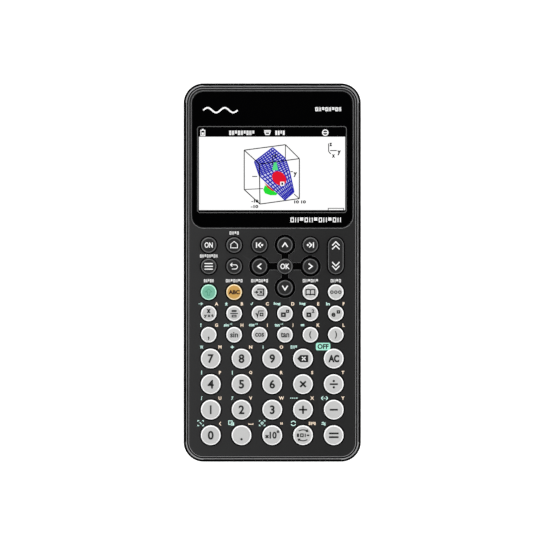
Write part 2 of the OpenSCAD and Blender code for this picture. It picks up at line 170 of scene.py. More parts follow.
def pill_shape(r, half_straight, steps=32):
    return lambda grow: pill(r + grow, half_straight, steps)


case_outline = rect_shape(HALF_W, HALF_L, CORNER_R, 24)


def inset_of(point):
    """How far inside the case outline a point lies."""
    past_x = abs(point.x) - (HALF_W - CORNER_R)
    past_y = abs(point.y) - (HALF_L - CORNER_R)
    beyond = math.hypot(max(past_x, 0), max(past_y, 0)) + min(max(past_x, past_y), 0)
    return CORNER_R - beyond


def wells_outline(grow):
    """The four arrow wells, joined by two crossing channels."""
    r = 5.0 + grow
    half_channel = 1.65 + grow
    side = 180 - math.degrees(math.asin(half_channel / r))
    out = []
    for turn, reach in ((0, SIDE_REACH), (90, PAD_REACH), (180, SIDE_REACH), (270, PAD_REACH)):
        arm = [(half_channel, -half_channel)] + arc((reach, 0), r, -side, side, 40)
        c, s = round(math.cos(math.radians(turn))), round(math.sin(math.radians(turn)))
        out += [(c * x - s * y, s * x + c * y) for x, y in arm]
    return out


# ---------- solids ----------

def solid(rings, hollow=False):
    """A closed mesh through rings of points. A hollow one joins its last ring to its first."""
    bm = bmesh.new()
    rows = [[bm.verts.new(p) for p in ring] for ring in rings]
    pairs = list(zip(rows, rows[1:]))
    if hollow:
        pairs.append((rows[-1], rows[0]))
    for low, high in pairs:
        for i in range(len(low)):
            j = (i + 1) % len(low)
            bm.faces.new((low[i], low[j], high[j], high[i]))
    if not hollow:
        bm.faces.new(rows[0][::-1])
        bm.faces.new(rows[-1])
    return bm


def loft(shape, profile, at=(0, 0), hollow=False):
    """A solid through a shape's outline at each (growth, height) of a profile."""
    return solid([[(x + at[0], y + at[1], z) for x, y in shape(grow)] for grow, z in profile], hollow)


def lathe(profile, at=(0, 0), steps=64, hollow=False):
    """A profile of (radius, height) turned about an upright axis."""
    return loft(lambda r: circle(r, steps), profile, at, hollow)


def block(low, high, r=0.0):
    """A box with its edges rounded."""
    bm = bmesh.new()
    bmesh.ops.create_cube(bm, size=1)
    for v in bm.verts:
        v.co = [low[i] + (v.co[i] + 0.5) * (high[i] - low[i]) for i in range(3)]
    if r:
        bmesh.ops.bevel(bm, geom=bm.edges[:], offset=r, segments=3, profile=0.5, affect="EDGES")
    return bm


def as_mesh(name, bm):
    mesh = bpy.data.meshes.new(name)
    bm.to_mesh(mesh)
    bm.free()
    return mesh


def placed(name, data):
    """A new object in the scene."""
    obj = bpy.data.objects.new(name, data)
    bpy.context.scene.collection.objects.link(obj)
    return obj


def slab(x, y, half_w, half_l, low, high, r=0.0):
    """A box about an upright axis."""
    return block((x - half_w, y - half_l, low), (x + half_w, y + half_l, high), r)


def evaluated(obj):
    """The object's mesh as it looks once its modifiers and text are worked out."""
    graph = bpy.context.evaluated_depsgraph_get()
    return bpy.data.meshes.new_from_object(obj.evaluated_get(graph))


def merged(solids):
    """Several meshes in one."""
    out = bmesh.new()
    for bm in solids:
        mesh = as_mesh("part", bm)
        out.from_mesh(mesh)
        bpy.data.meshes.remove(mesh)
    return out


def moved(bm, by):
    bmesh.ops.translate(bm, vec=by, verts=bm.verts)
    return bm


def turned(bm, axes):
    """Swaps the axes of a mesh in turn: axes (2, 0, 1) puts its height along X."""
    for v in bm.verts:
        v.co = [v.co[i] for i in axes]
    return bm


def carved(bm, cutters):
    """The solid with each cutter taken away in turn."""
    target = placed("temporary", as_mesh("temporary", bm))
    for cutter in cutters:
        tool = placed("temporary", as_mesh("temporary", cutter))
        change = target.modifiers.new("cut", "BOOLEAN")
        change.operation = "DIFFERENCE"
        change.solver = "EXACT"
        change.object = tool
        mesh = evaluated(target)
        target.modifiers.clear()
        target.data = mesh
        bpy.data.objects.remove(tool)
    out = bmesh.new()
    out.from_mesh(target.data)
    bpy.data.objects.remove(target)
    return out


def mouth(low, face, r=0.2):
    """A cutting profile that opens upwards into a rounded mouth at a face."""
    lift = 0.002
    return [(0, low)] + arc((r, face - r + lift), r, 180, 90, 5) + [(r, face + OVERCUT)]


def mouth_below(face, high, r=0.2):
    """A cutting profile that opens downwards into a rounded mouth at a face."""
    lift = 0.002
    return [(r, face - OVERCUT)] + arc((r, face + r - lift), r, 270, 180, 5) + [(0, high)]


def soften(bm):
    """Smooth shading, with every real corner kept sharp."""
    for face in bm.faces:
        face.smooth = True
    for edge in bm.edges:
        edge.smooth = len(edge.link_faces) == 2 and edge.calc_face_angle(0) < math.radians(33)


def piece(name, bm, body, materials, stands_for=()):
    """Turns a mesh in millimetres into a finished piece that rides on a body."""
    bmesh.ops.remove_doubles(bm, verts=bm.verts, dist=0.0004)
    bmesh.ops.scale(bm, vec=(MM, MM, MM), verts=bm.verts)
    bmesh.ops.recalc_face_normals(bm, faces=bm.faces)
    soften(bm)
    mesh = as_mesh(name, bm)
    obj = placed(name, mesh)
    for mat in materials:
        mesh.materials.append(mat)
    even = obj.modifiers.new("even_normals", "WEIGHTED_NORMAL")
    even.keep_sharp = True
    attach(obj, body)
    if stands_for:
        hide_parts(*stands_for)
    return obj


# ---------- materials ----------

MIX_A, MIX_B, MIXED = 6, 7, 2      # the colour sockets of a Mix node


def set_values(node, values):
    """Sets a node. Names with a capital are sockets, and the others are properties."""
    for key, value in values.items():
        if key[0].isupper():
            node.inputs[key.replace("_", " ")].default_value = value
        else:
            setattr(node, key, value)


def shade(colour, factor):
    return tuple(min(1.0, c * factor) for c in colour)


class Surface:
    """A material while it is made. Its steps take and give node sockets."""

    def __init__(self, name, roughness=0.5, **sockets):
        self.material = bpy.data.materials.new(name)
        self.material.use_nodes = True
        self.tree = self.material.node_tree
        self.shader = self.tree.nodes["Principled BSDF"]
        set_values(self.shader, {"Roughness": roughness, **sockets})
        self.place = self.tree.nodes.new("ShaderNodeTexCoord").outputs

    def node(self, kind, source, socket, **values):
        """Adds a node that reads a source through one socket."""
        made = self.tree.nodes.new(kind)
        set_values(made, values)
        self.tree.links.new(source, made.inputs[socket])
        return made

    def feed(self, source, socket="Base Color"):
        """Drives one of the shader's sockets."""
        self.tree.links.new(source, self.shader.inputs[socket])

    def texture(self, kind, **values):
        return self.node(kind, self.place["Object"], "Vector", **values)

    def noise(self, scale, detail=3.0):
        return self.texture("ShaderNodeTexNoise", Scale=scale, Detail=detail).outputs["Fac"]

    def axes(self, of="Object"):
        return self.node("ShaderNodeSeparateXYZ", self.place[of], "Vector").outputs

    def ramp(self, source, low, high, to_low=0.0, to_high=1.0):
        """Maps a value from one range to another, held at both ends."""
        limits = {"From_Min": low, "From_Max": high, "To_Min": to_low, "To_Max": to_high}
        return self.node("ShaderNodeMapRange", source, "Value", **limits).outputs["Result"]

    def mix(self, factor, a, b):
        """Mixes two colours, given as values or as sockets."""
        made = self.node("ShaderNodeMix", factor, "Factor", data_type="RGBA")
        for i, colour in ((MIX_A, a), (MIX_B, b)):
            if isinstance(colour, tuple):
                made.inputs[i].default_value = (*colour, 1)
            else:
                self.tree.links.new(colour, made.inputs[i])
        return made.outputs[MIXED]

    def drift(self, scale, colour, low, high, detail=3.0):
        """A colour that drifts between two of its shades."""
        return self.mix(self.noise(scale, detail), shade(colour, low), shade(colour, high))

    def relief(self, source, height, strength=1.0):
        """Bump from a value; the height is in millimetres."""
        bump = self.node("ShaderNodeBump", source, "Height", Distance=height * MM, Strength=strength)
        self.feed(bump.outputs["Normal"], "Normal")

    def grain(self, scale, height):
        """Fine moulded or cast grain."""
        speckle = self.noise(scale, 2.0)
        self.relief(speckle, height)
        return speckle


def panel_painted_sheen_and_surround(mat, scale, colour, black_from):
    """The panel carries a painted sheen, paler at its left and darker at its right, as a reflection on its
    satin face would make it; from a distance along Y it turns black round the display.
    """
    axes = mat.axes()
    # painted sheen: a paler shade at the left runs to a darker shade at the right
    across = mat.ramp(axes["X"], -HALF_W * MM, 0.6 * HALF_W * MM)
    body = mat.mix(across, mat.drift(scale, colour, 1.2, 1.34), mat.drift(scale, colour, 0.5, 0.58))
    surround = mat.ramp(axes["Y"], black_from * MM, (black_from + 3) * MM)
    return mat.mix(surround, body, (0.002, 0.002, 0.002))


def plastic(name, colour, roughness=0.5, grain_height=0.004, wear=1.5, black_from=None, **sockets):
    """Moulded plastic: slow colour drift, fine grain, uneven gloss and paler worn edges."""
    mat = Surface(name, roughness, **sockets)
    drift_scale = 45.0
    if black_from:
        # with black_from the colour also carries the panel's painted sheen
        body = panel_painted_sheen_and_surround(mat, drift_scale, colour, black_from)
    else:
        body = mat.drift(drift_scale, colour, 0.93, 1.07)
    pointed = mat.tree.nodes.new("ShaderNodeNewGeometry").outputs["Pointiness"]
    worn = mat.ramp(pointed, 0.515, 0.56, 0.0, 0.6)
    mat.feed(mat.mix(worn, body, shade(colour, wear)))
    speckle = mat.grain(5200.0, grain_height)
    mat.feed(mat.ramp(speckle, 0.3, 0.7, roughness - 0.05, roughness + 0.05), "Roughness")
    return mat.material


def key_plastic_with_rim_highlight(name, colour, rim):
    """Key cap plastic: the flat top is satin and the rounded rim glossier, and the rim's paler colour is a
    painted highlight.
    """
    satin, polished, flat, sloped = 0.42, 0.25, 0.985, 0.8
    mat = Surface(name, satin)
    up = mat.axes("Normal")["Z"]
    # painted highlight: where the cap slopes its colour turns to the paler rim colour
    mat.feed(mat.mix(mat.ramp(up, flat, sloped), mat.drift(160.0, colour, 0.96, 1.04), rim))
    mat.grain(4200.0, 0.002)
    mat.feed(mat.ramp(up, flat, sloped, satin, polished), "Roughness")
    return mat.material


def ink(name, colour, roughness=0.45):
    """Printed ink: a thin coat with slight unevenness."""
    mat = Surface(name, roughness)
    mat.feed(mat.drift(1500.0, colour, 0.9, 1.06))
    mat.grain(6000.0, 0.001)
    return mat.material


def lit(name, colour, strength=1.0):
    """A lit area of the display under glossy glass, with its fine grid of dots."""
    mat = Surface(name, 0.05, Base_Color=(0.0, 0.0, 0.0, 1), Coat_Weight=0.6, Coat_Roughness=0.02,
                  Emission_Strength=strength)
    dots = mat.texture("ShaderNodeTexChecker", Scale=9000.0).outputs["Fac"]
    mat.feed(mat.mix(dots, shade(colour, 0.97), colour), "Emission Color")
    return mat.material


def gloss_window(name):
    """Black-backed hard-coated window, with faint hairlines in its gloss."""
    mat = Surface(name, 0.04, Coat_Weight=0.3, Coat_Roughness=0.02)
    mat.feed(mat.mix(mat.noise(60.0), (0.0006, 0.0006, 0.0007), (0.0011, 0.0011, 0.0012)))
    mat.feed(mat.ramp(mat.noise(900.0, 8.0), 0.35, 0.75, 0.02, 0.09), "Roughness")
    mat.grain(250.0, 0.0004)
    return mat.material


def metal(name, colour, roughness):
    """Plated metal with a brushed, slightly stained surface."""
    mat = Surface(name, roughness, Metallic=1.0)
    mat.feed(mat.drift(400.0, colour, 0.8, 1.1, 5.0))
    speckle = mat.grain(2500.0, 0.002)
    mat.feed(mat.ramp(speckle, 0.3, 0.7, roughness - 0.08, roughness + 0.1), "Roughness")
    return mat.material


def circuit_board(name, low, high):
    """Green solder mask with its tracks' faint relief between two heights.
    The packages below it are black, and the socket's shell above it is plated."""
    mat = Surface(name, 0.35)
    tracks = mat.texture("ShaderNodeTexVoronoi", Scale=520.0, distance="MANHATTAN").outputs["Distance"]
    on_track = mat.ramp(tracks, 0.35, 0.45)
    mask = mat.mix(on_track, (0.012, 0.13, 0.045), (0.02, 0.19, 0.07))
    height, speckle = mat.axes()["Z"], mat.noise(900.0)
    package = mat.ramp(height, (low - 0.06) * MM, (low - 0.02) * MM, 1.0, 0.0)
    shell = mat.ramp(height, (high + 0.02) * MM, (high + 0.06) * MM)
    epoxy = mat.mix(speckle, (0.01, 0.01, 0.01), (0.018, 0.018, 0.018))
    plated = mat.mix(speckle, (0.5, 0.49, 0.47), (0.66, 0.65, 0.62))
    mat.feed(mat.mix(shell, mat.mix(package, mask, epoxy), plated))
    mat.feed(shell, "Metallic")
    mat.relief(on_track, 0.03, 0.6)
    return mat.material


# the front's colour carries a painted sheen, paler at the panel's left
FRONT = plastic("front_plastic", (0.0145, 0.0145, 0.0148), 0.55, 0.005, 1.6, glass_low.y + 2.5,
                Specular_IOR_Level=0.3)
# near black: the rim's own colour, and painted shade where it is put in the key holes, the arrow wells and
# other hollows
RIM_BLACK_AND_HOLLOW_SHADE = plastic("front_rim_black_and_hollow_shade", (0.0018, 0.0018, 0.0019), 0.45, 0.003, 1.3, IOR=1.05)
# painted highlights: pale greys for thin lit lines on the rim's flat top, along the panel's and the window
# pocket's rounded edges, and round the arrow wells
RIM_HIGHLIGHT_LINE = plastic("front_rim_highlight_line", (0.34, 0.34, 0.345), 0.4, 0.001, 1.1)
RIM_EDGE_HIGHLIGHT = plastic("front_rim_edge_highlight", (0.2, 0.2, 0.205), 0.35, 0.001, 1.2)
WELL_EDGE_HIGHLIGHT = plastic("well_edge_highlight", (0.09, 0.09, 0.091), 0.35, 0.001, 1.2)
REAR = plastic("rear_plastic", (0.012, 0.012, 0.0125), 0.5, 0.008, 2.4)
WINDOW = gloss_window("window")
# each key's last colour is the painted highlight on its rounded rim
KEY_DARK = key_plastic_with_rim_highlight("key_dark", (0.011, 0.011, 0.0113), (0.09, 0.09, 0.092))
KEY_LIGHT = key_plastic_with_rim_highlight("key_light", (0.5, 0.5, 0.495), (1.0, 1.0, 1.0))
KEY_MINT = key_plastic_with_rim_highlight("key_mint", (0.155, 0.42, 0.295), (0.5, 0.9, 0.72))
KEY_AMBER = key_plastic_with_rim_highlight("key_amber", (0.53, 0.3, 0.075), (0.98, 0.8, 0.5))
FOOT = plastic("foot_rubber", (0.015, 0.015, 0.015), 0.8, 0.01, 1.6)
SILICONE = plastic("silicone", (0.6, 0.6, 0.58), 0.6, 0.003, 1.1)
STEEL = metal("screw_steel", (0.55, 0.55, 0.57), 0.3)
NICKEL = metal("contact_metal", (0.75, 0.73, 0.68), 0.25)
PANEL_METAL = metal("display_panel", (0.5, 0.52, 0.55), 0.4)
SLEEVE = plastic("cell_sleeve", (0.05, 0.12, 0.03), 0.3, 0.001, 1.2)
SLEEVE_BAND = plastic("cell_band", (0.6, 0.6, 0.55), 0.3, 0.001, 1.2)
SOCKET_H, BOARD_T = 2.6, 1.6
BOARD_TOP = node_box("main_board")[1].z - SOCKET_H
BOARD = circuit_board("board", BOARD_TOP - BOARD_T, BOARD_TOP)
WHITE_INK = ink("white_ink", (0.9, 0.9, 0.9))
BLACK_INK = ink("black_ink", (0.004, 0.004, 0.004))
TEAL_INK = ink("teal_ink", (0.62, 0.92, 0.84))
AMBER_INK = ink("amber_ink", (0.98, 0.78, 0.6))
GREEN_INK = ink("green_ink", (0.06, 0.26, 0.17))
BADGE = ink("badge_ink", (0.36, 0.78, 0.62))
BROWN_INK = ink("brown_ink", (0.03, 0.008, 0.001))
FRAME_INK = ink("frame_ink", (0.12, 0.12, 0.12), 0.2)


# ---------- prints: every mark is a thin closed shape ----------

def rectangle(x, y, w, h):
    return [(x + i * w / 2, y + j * h / 2) for i, j in ((-1, -1), (1, -1), (1, 1), (-1, 1))]


def filled(outline, low, high):
    return solid([[(x, y, z) for x, y in outline] for z in (low, high)])


def stroke(points, width, low, high, closed=False):
    """A flat line with mitred corners."""
    points = [Vector(p) for p in points]
    count = len(points)
    rings = []
    for i, p in enumerate(points):
        into = p - points[i - 1] if i or closed else points[1] - p
        out = points[(i + 1) % count] - p if i < count - 1 or closed else into
        into, out = into.normalized(), out.normalized()
        side = Vector((-(into.y + out.y), into.x + out.x)).normalized()
        reach = width / 2 / max(0.3, side.dot(Vector((-into.y, into.x))))
        left, right = p + side * reach, p - side * reach
        rings.append([(*left, low), (*left, high), (*right, high), (*right, low)])
    return solid(rings, closed)


class Print:
    """Marks drawn on one flat face about a middle point, gathered into one mesh."""

    def __init__(self, at, face, thickness=INK):
        self.at = at
        self.low = face - 0.01
        self.high = face + thickness
        self.parts = []

    def add(self, bm, at=(0, 0)):
        self.parts.append(moved(bm, (self.at[0] + at[0], self.at[1] + at[1], 0)))
        return self

    def line(self, points, width, closed=False):
        return self.add(stroke(points, width, self.low, self.high, closed))

    def fill(self, outline, at=(0, 0)):
        return self.add(filled(outline, self.low, self.high), at)

    def bar(self, x, y, w, h):
        return self.fill(round_rect(w / 2, h / 2, 0.08, 2), (x, y))

    def frame(self, x, y, w, h, width):
        return self.line(rectangle(x, y, w, h), width, True)

    def dot(self, x, y, r):
        return self.fill(circle(r, 24), (x, y))

    def ring(self, x, y, r, width):
        return self.line([(x + a, y + b) for a, b in circle(r, 28)], width, True)

    def glyph(self, text, x, y, height, width=None, weight=0.0):
        """Generic characters from the built-in font, fitted to a height and centred on a point."""
        curve = bpy.data.curves.new("glyph", "FONT")
        curve.body = text
        curve.resolution_u = 4
        curve.offset = weight
        curve.extrude = 0.5
        obj = placed("glyph", curve)
        mesh = evaluated(obj)
        bpy.data.objects.remove(obj)
        bm = bmesh.new()
        bm.from_mesh(mesh)
        bpy.data.meshes.remove(mesh)
        bmesh.ops.remove_doubles(bm, verts=bm.verts, dist=0.0001)
        xs = [v.co.x for v in bm.verts]
        ys = [v.co.y for v in bm.verts]
        scale_y = height / (max(ys) - min(ys))
        scale_x = width / (max(xs) - min(xs)) if width else scale_y
        mid_x, mid_y = (max(xs) + min(xs)) / 2, (max(ys) + min(ys)) / 2
        for v in bm.verts:
            z = self.high if v.co.z > 0 else self.low
            v.co = ((v.co.x - mid_x) * scale_x + x, (v.co.y - mid_y) * scale_y + y, z)
        return self.add(bm)

    def blocks(self, x, y, w, h, count, width=0.26):
        """A row of plain bars and squares where the object has a small word."""
        pitch = w / count
        size = pitch * 0.72
        for i in range(count):
            centre = x - w / 2 + pitch * (i + 0.5)
            if i % 3 == 0:
                self.frame(centre, y, size - width, h - width, width)
            elif i % 3 == 1:
                apart = (size - width) / 2
                self.bar(centre - apart, y, width, h).bar(centre + apart, y, width, h)
            else:
                self.bar(centre, y, size, h * 0.3).bar(centre, y + h * 0.36, size, h * 0.28)
        return self

    def finish(self, name, body, slot, mat):
        return piece(name, merged(self.parts), body, [mat])


def chevron(x, y, half_w, half_h, turn):
    """An open arrow head; turn 0 points up, 90 left, 180 down and 270 right."""
    a = math.radians(turn)
    points = []
    for px, py in ((-half_w, -half_h), (0, half_h), (half_w, -half_h)):
        points.append((x + px * math.cos(a) - py * math.sin(a), y + px * math.sin(a) + py * math.cos(a)))
    return points


def mark_home(p):
    p.line([(-1.6, -1.35), (1.6, -1.35), (1.6, 0.35), (0, 1.75), (-1.6, 0.35)], 0.32, True)


def line_end_mark(side):
    """An arrow from a dot to a bar at one side."""
    def draw(p):
        p.bar(side * 1.45, 0, 0.5, 2.6).line(chevron(0, 0, 1.15, 0.6, 180 + 90 * side), 0.55)
        p.dot(-side * 1.25, 0, 0.5)

    return draw


def mark_menu(p):
    for y in (-1.35, 0, 1.35):
        p.bar(0, y, 4.0, 0.48)


def mark_back(p):
    hook = [(-1.4, 0.75), (0.6, 0.75)] + arc((0.6, -0.25), 1.0, 80, -80, 10) + [(0.5, -1.3), (-1.0, -1.3)]
    p.line(hook, 0.36).line(chevron(-1.3, 0.75, 0.85, 0.45, 90), 0.36)


def mark_shift(p):
    arrow = [(-0.55, -1.5), (0.55, -1.5), (0.55, 0.1), (1.5, 0.1), (0, 1.6), (-1.5, 0.1), (-0.55, 0.1)]
    p.line(arrow, 0.28, True)


def mark_variable(p):
    box = [(-0.8, 0.85), (-0.8, 1.45), (1.95, 1.45), (1.95, -1.45), (-0.8, -1.45), (-0.8, -0.85)]
    p.line(box, 0.55).bar(-1.7, 0, 1.5, 0.5).line(chevron(-1.25, 0, 0.6, 0.4, 270), 0.5)
    p.glyph("x", 0.7, 0, 1.4, None, 0.06)


def mark_catalog(p):
    """An open book."""
    page = [(0, -1.3), (1.1, -1.0), (2.1, -1.3), (2.1, 1.15), (1.1, 1.4), (0, 1.1)]
    for side in (-1, 1):
        p.line([(side * x, y) for x, y in page], 0.55)
    p.bar(0, -0.1, 0.5, 2.6)


def mark_tools(p):
    for x in (-1.9, 0, 1.9):
        p.ring(x, 0, 0.6, 0.46)


def mark_x(p):
    p.glyph("x", 0, 1.15, 1.9, 2.0, 0.09)
    p.glyph("y z t", 0, -1.2, 1.9, 4.6, 0.06)


def mark_fraction(p):
    p.bar(0, 1.2, 2.4, 0.9).bar(0, 0, 3.7, 0.5).frame(0, -1.25, 1.9, 0.8, 0.45)


def mark_root(p):
    p.line([(-1.9, -0.25), (-1.5, -0.05), (-1.0, -1.4), (-0.35, 1.2), (2.0, 1.2)], 0.5)
    p.frame(0.95, -0.5, 1.3, 1.2, 0.55)


def mark_power(p):
    p.frame(-0.75, -0.6, 1.5, 1.4, 0.8).frame(1.25, 1.05, 1.0, 1.0, 0.5)


def mark_square(p):
    p.frame(-0.75, -0.65, 1.5, 1.4, 0.8).glyph("2", 1.25, 1.15, 1.7, 1.3, 0.05)


def mark_exponential(p):
    p.glyph("e", -1.15, -0.6, 2.0, 1.9, 0.035).frame(1.25, 0.75, 1.1, 1.0, 0.6)


def mark_delete(p):
    p.fill([(-2.75, 0), (-1.3, -1.7), (2.5, -1.7), (2.5, 1.7), (-1.3, 1.7)])


def mark_divide(p):
    p.bar(0, 0, 3.9, 0.8).dot(0, 1.5, 0.55).dot(0, -1.5, 0.55)


def mark_times_ten(p):
    p.glyph("×", -2.5, -0.6, 1.8, None, 0.07).glyph("10", 0.4, 0.05, 3.3, 3.4, 0.035)
    p.frame(2.75, 1.75, 0.7, 0.7, 0.45)


def mark_format(p):
    """Two curved arrows that chase each other round plain shapes."""
    for side in (1, -1):
        turn = 90 - 90 * side
        p.line(arc((0, -1.6 * side), 4.2, 120 + turn, 62 + turn, 12), 0.5)
    for side in (1, -1):
        p.line(chevron(1.95 * side, 2.05 * side, 0.6, 0.4, 145 + 90 * side), 0.5)
    p.bar(-2.4, 0, 1.0, 1.7).frame(-0.55, 0, 1.2, 1.3, 0.5)
    p.bar(1.05, 0, 0.5, 1.7).bar(2.4, 0, 1.3, 0.7)


def mark_enter(p):
    p.bar(0, 0.9, 4.6, 0.85).bar(0, -0.9, 4.6, 0.85)


def mark_multiply(p):
    r = 1.35
    p.line([(-r, -r), (r, r)], 0.85).line([(-r, r), (r, -r)], 0.85)


def word(text, width, height, weight=0.0, y=0.0):
    return lambda p: p.glyph(text, 0, y, height, width, weight)


def arrow_mark(turn):
    return lambda p: p.line(chevron(0, 0, 1.3, 1.0 if turn in (0, 180) else 0.85, turn), 0.55)


MARKS = {
    "key_on": word("ON", 3.9, 2.6, 0.02),
    "key_line_start": line_end_mark(-1),
    "key_line_end": line_end_mark(1),
    "key_ok": word("OK", 4.4, 2.6, 0.02),
    "key_alpha": word("ABC", 5.4, 2.1, 0.06),
    "key_comma": word(",", 0.75, 1.7, 0.03, -1.7),
    "key_sin": word("sin", 3.8, 2.6, 0.028),
    "key_cos": word("cos", 4.2, 1.9, 0.028),
    "key_tan": word("tan", 4.1, 2.5, 0.028),
    "key_open_bracket": word("(", 1.1, 3.6, 0.03),
    "key_close_bracket": word(")", 1.1, 3.6, 0.03),
    "key_clear": word("AC", 5.2, 3.6, 0.055),
    "key_plus": lambda p: p.bar(0, 0, 3.9, 0.8).bar(0, 0, 0.8, 3.9),
    "key_minus": lambda p: p.bar(0, 0, 3.9, 0.8),
    "key_point": lambda p: p.dot(0, -1.9, 0.55),
}
for draw in (mark_home, mark_menu, mark_back, mark_shift, mark_variable, mark_catalog, mark_tools, mark_x,
             mark_fraction, mark_root, mark_power, mark_square, mark_exponential, mark_delete,
             mark_multiply, mark_divide, mark_times_ten, mark_format, mark_enter):
    MARKS[draw.__name__.replace("mark", "key", 1)] = draw
for way, turn in (("up", 0), ("left", 90), ("down", 180), ("right", 270)):
    MARKS["key_" + way] = arrow_mark(turn)
for digit in "0123456789":
    MARKS["key_" + digit] = word(digit, None, 4.2, 0.016 if digit == "1" else 0.03)


# ---------- front shell ----------

def front_body():
    """The outside of the front case: wall, rounded shoulder, groove and raised panel."""
    foot_r = 0.15
    profile = [(-foot_r, FRONT_SEAM)]
    profile += arc((-foot_r, FRONT_SEAM + foot_r), foot_r, -60, 0, 2)
    profile += arc((-SHOULDER_R, SHOULDER - SHOULDER_R), SHOULDER_R, 0, 90, 10)
    profile += arc((-GROOVE_IN + INNER_EDGE_R, SHOULDER - INNER_EDGE_R), INNER_EDGE_R, 90, 180, 5)
    profile += [(-GROOVE_IN, GROOVE_FLOOR), (-GROOVE_IN - GROOVE_W, GROOVE_FLOOR)]
    profile += arc((-GROOVE_IN - GROOVE_W - EDGE_R, PANEL - EDGE_R), EDGE_R, 0, 90, 6)
    return loft(case_outline, profile)


def front_cavity():
    return loft(case_outline, [(-WALL, FRONT_SEAM - OVERCUT), (-WALL, UNDER)])


def glass_pocket():
    half_w, half_l = half_size("display_window")
    gap = 0.1
    shape = rect_shape(half_w + gap, half_l + gap, GLASS_CORNER_R + gap, 20)
    return loft(shape, mouth(SEAT, PANEL, POCKET_MOUTH_R), GLASS_MID)


def display_opening():
    gap, half_glass = 0.2, 22.5
    half_w = half_size("display_module")[0] + gap
    centre_y = node_box("display_module")[1].y - half_glass
    return slab(0, centre_y, half_w, half_glass + gap, UNDER - OVERCUT, SEAT + 0.4)


def bore(r, profile, at, steps):
    """The cutter for a round hole, from a profile of (growth, height)."""
    return lathe([(r + grow, z) for grow, z in profile], at, steps)


def key_hole(name):
    r = (LARGE_R if is_large(name) else SMALL_R) + KEY_GAP
    return bore(r, mouth(UNDER - OVERCUT, PANEL, HOLE_MOUTH_R), middle(name), 72)


def is_large(name):
    margin = 0.25
    return half_size(name)[0] > SMALL_R + KEY_FLANGE_OUT + margin


def rocker_hole():
    shape = pill_shape(SMALL_R + KEY_GAP, ROCKER_REACH)
    return loft(shape, mouth(UNDER - OVERCUT, PANEL, HOLE_MOUTH_R), ROCKER)


def arrow_wells():
    depth = 0.5
    return loft(wells_outline, mouth(PANEL - depth, PANEL, WELL_MOUTH_R), NAV)


def side_rails():
    """The grooves that a slide-on cover would run in, closed at the keys' end."""
    depth = 0.9
    low = FRONT_SEAM + 2
    out = []
    for side in (-1, 1):
        x = sorted((side * (HALF_W - depth), side * (HALF_W + depth)))
        out.append(block((x[0], 2 - HALF_L + CORNER_R, low), (x[1], HALF_L - CORNER_R, low + 1.2), 0.2))
    return out


def socket_slot():
    """Opening in the display end's wall for the data socket, with rounded ends and edges."""
    half_w, half_h, r, x, z = 4.2, 1.7, 0.8, 29.0, 11.9
    hole = loft(rect_shape(half_h, half_w, r, 8), mouth(HALF_L - WALL - OVERCUT, HALF_L, 0.25))
    return moved(turned(hole, (1, 2, 0)), (x, 0, z))


def front_posts():
    hole_r, r, top = 1.05, 2, UNDER + SINK
    profile = [(hole_r, FRONT_SEAM), (r, FRONT_SEAM), (r, top), (hole_r, top)]
    return [lathe(profile, at, 32, True) for at in SCREW_PLACES]


def rocker_ears():
    """Two pairs of ears under the panel, which hold the rocker's pin."""
    x, y = ROCKER
    places = [(x + side, y + along) for side in (-5.6, 5.6) for along in (-1.3, 1.3)]
    return [slab(a, b, 0.6, 0.5, 12.8, UNDER + SINK, 0.1) for a, b in places]


def front_material_index(face):
    """Picks the material of a face by where it lies and how it slopes."""
    # slots in order: panel; near-black rim, also painted shade in the hollows; three painted highlights;
    # wall
    panel, black, line, edge, well_edge_highlight, wall = range(6)
    near, well_reach = 0.001, 5.5
    centre, slant = face.calc_center_median(), abs(face.normal.z)
    inset = inset_of(centre)
    plateau_in = GROOVE_IN + GROOVE_W
    rounded = 0.03 < slant < 0.985
    if centre.z < SHOULDER - SHOULDER_R and inset < WALL / 2:
        return wall
    # painted highlight line on the shoulder's flat top
    if SHOULDER_R - 0.1 < inset < GROOVE_IN and centre.z > GROOVE_FLOOR + 0.05:
        return line
    # painted highlight on the panel's rounded edge
    if plateau_in < inset < plateau_in + EDGE_R and rounded and centre.z > GROOVE_FLOOR:
        return edge
    if inset < plateau_in + near:
        return black
    if centre.z > PANEL - near:
        return panel
    by_window = glass_low.y - 0.5 < centre.y
    away_x, away_y = abs(centre.x - NAV[0]) - SIDE_REACH, abs(centre.y - NAV[1]) - PAD_REACH
    by_pad = max(away_x, away_y) < well_reach
    # painted highlights on the window pocket's mouth and, dimmer, on the arrow wells' mouths
    if rounded and centre.z > PANEL - POCKET_MOUTH_R and by_window:
        return edge
    if rounded and by_pad and centre.z > PANEL - WELL_MOUTH_R and not is_by_key(centre):
        return well_edge_highlight
    # the rest takes the near-black as painted shade: hole mouths, hole walls, well floors and other hollows
    return black


def is_by_key(point):
    """Whether a point lies at the mouth of a key hole that stands alone on the panel."""
    for name in KEYS:
        x, y = middle(name)
        in_well = abs(x - NAV[0]) < 0.1 or abs(y - NAV[1]) < 0.1 and abs(x - NAV[0]) < SIDE_REACH + 1
        if not in_well and math.hypot(point.x - x, point.y - y) < LARGE_R + KEY_GAP + HOLE_MOUTH_R:
            return True
    return False


def make_front_shell():
    cutters = [front_cavity(), glass_pocket(), display_opening(), arrow_wells(), rocker_hole()]
    cutters.append(merged([key_hole(name) for name in KEYS]))
    cutters.append(merged(side_rails() + [socket_slot()]))
    shell = carved(front_body(), cutters)
    for face in shell.faces:
        face.normal_update()
        face.material_index = front_material_index(face)
    whole = merged([shell] + front_posts() + rocker_ears())
    materials = [FRONT, RIM_BLACK_AND_HOLLOW_SHADE, RIM_HIGHLIGHT_LINE, RIM_EDGE_HIGHLIGHT, WELL_EDGE_HIGHLIGHT, REAR]
    return piece("front_shell", whole, "case", materials, ["front_case"])


# ---------- rear shell ----------

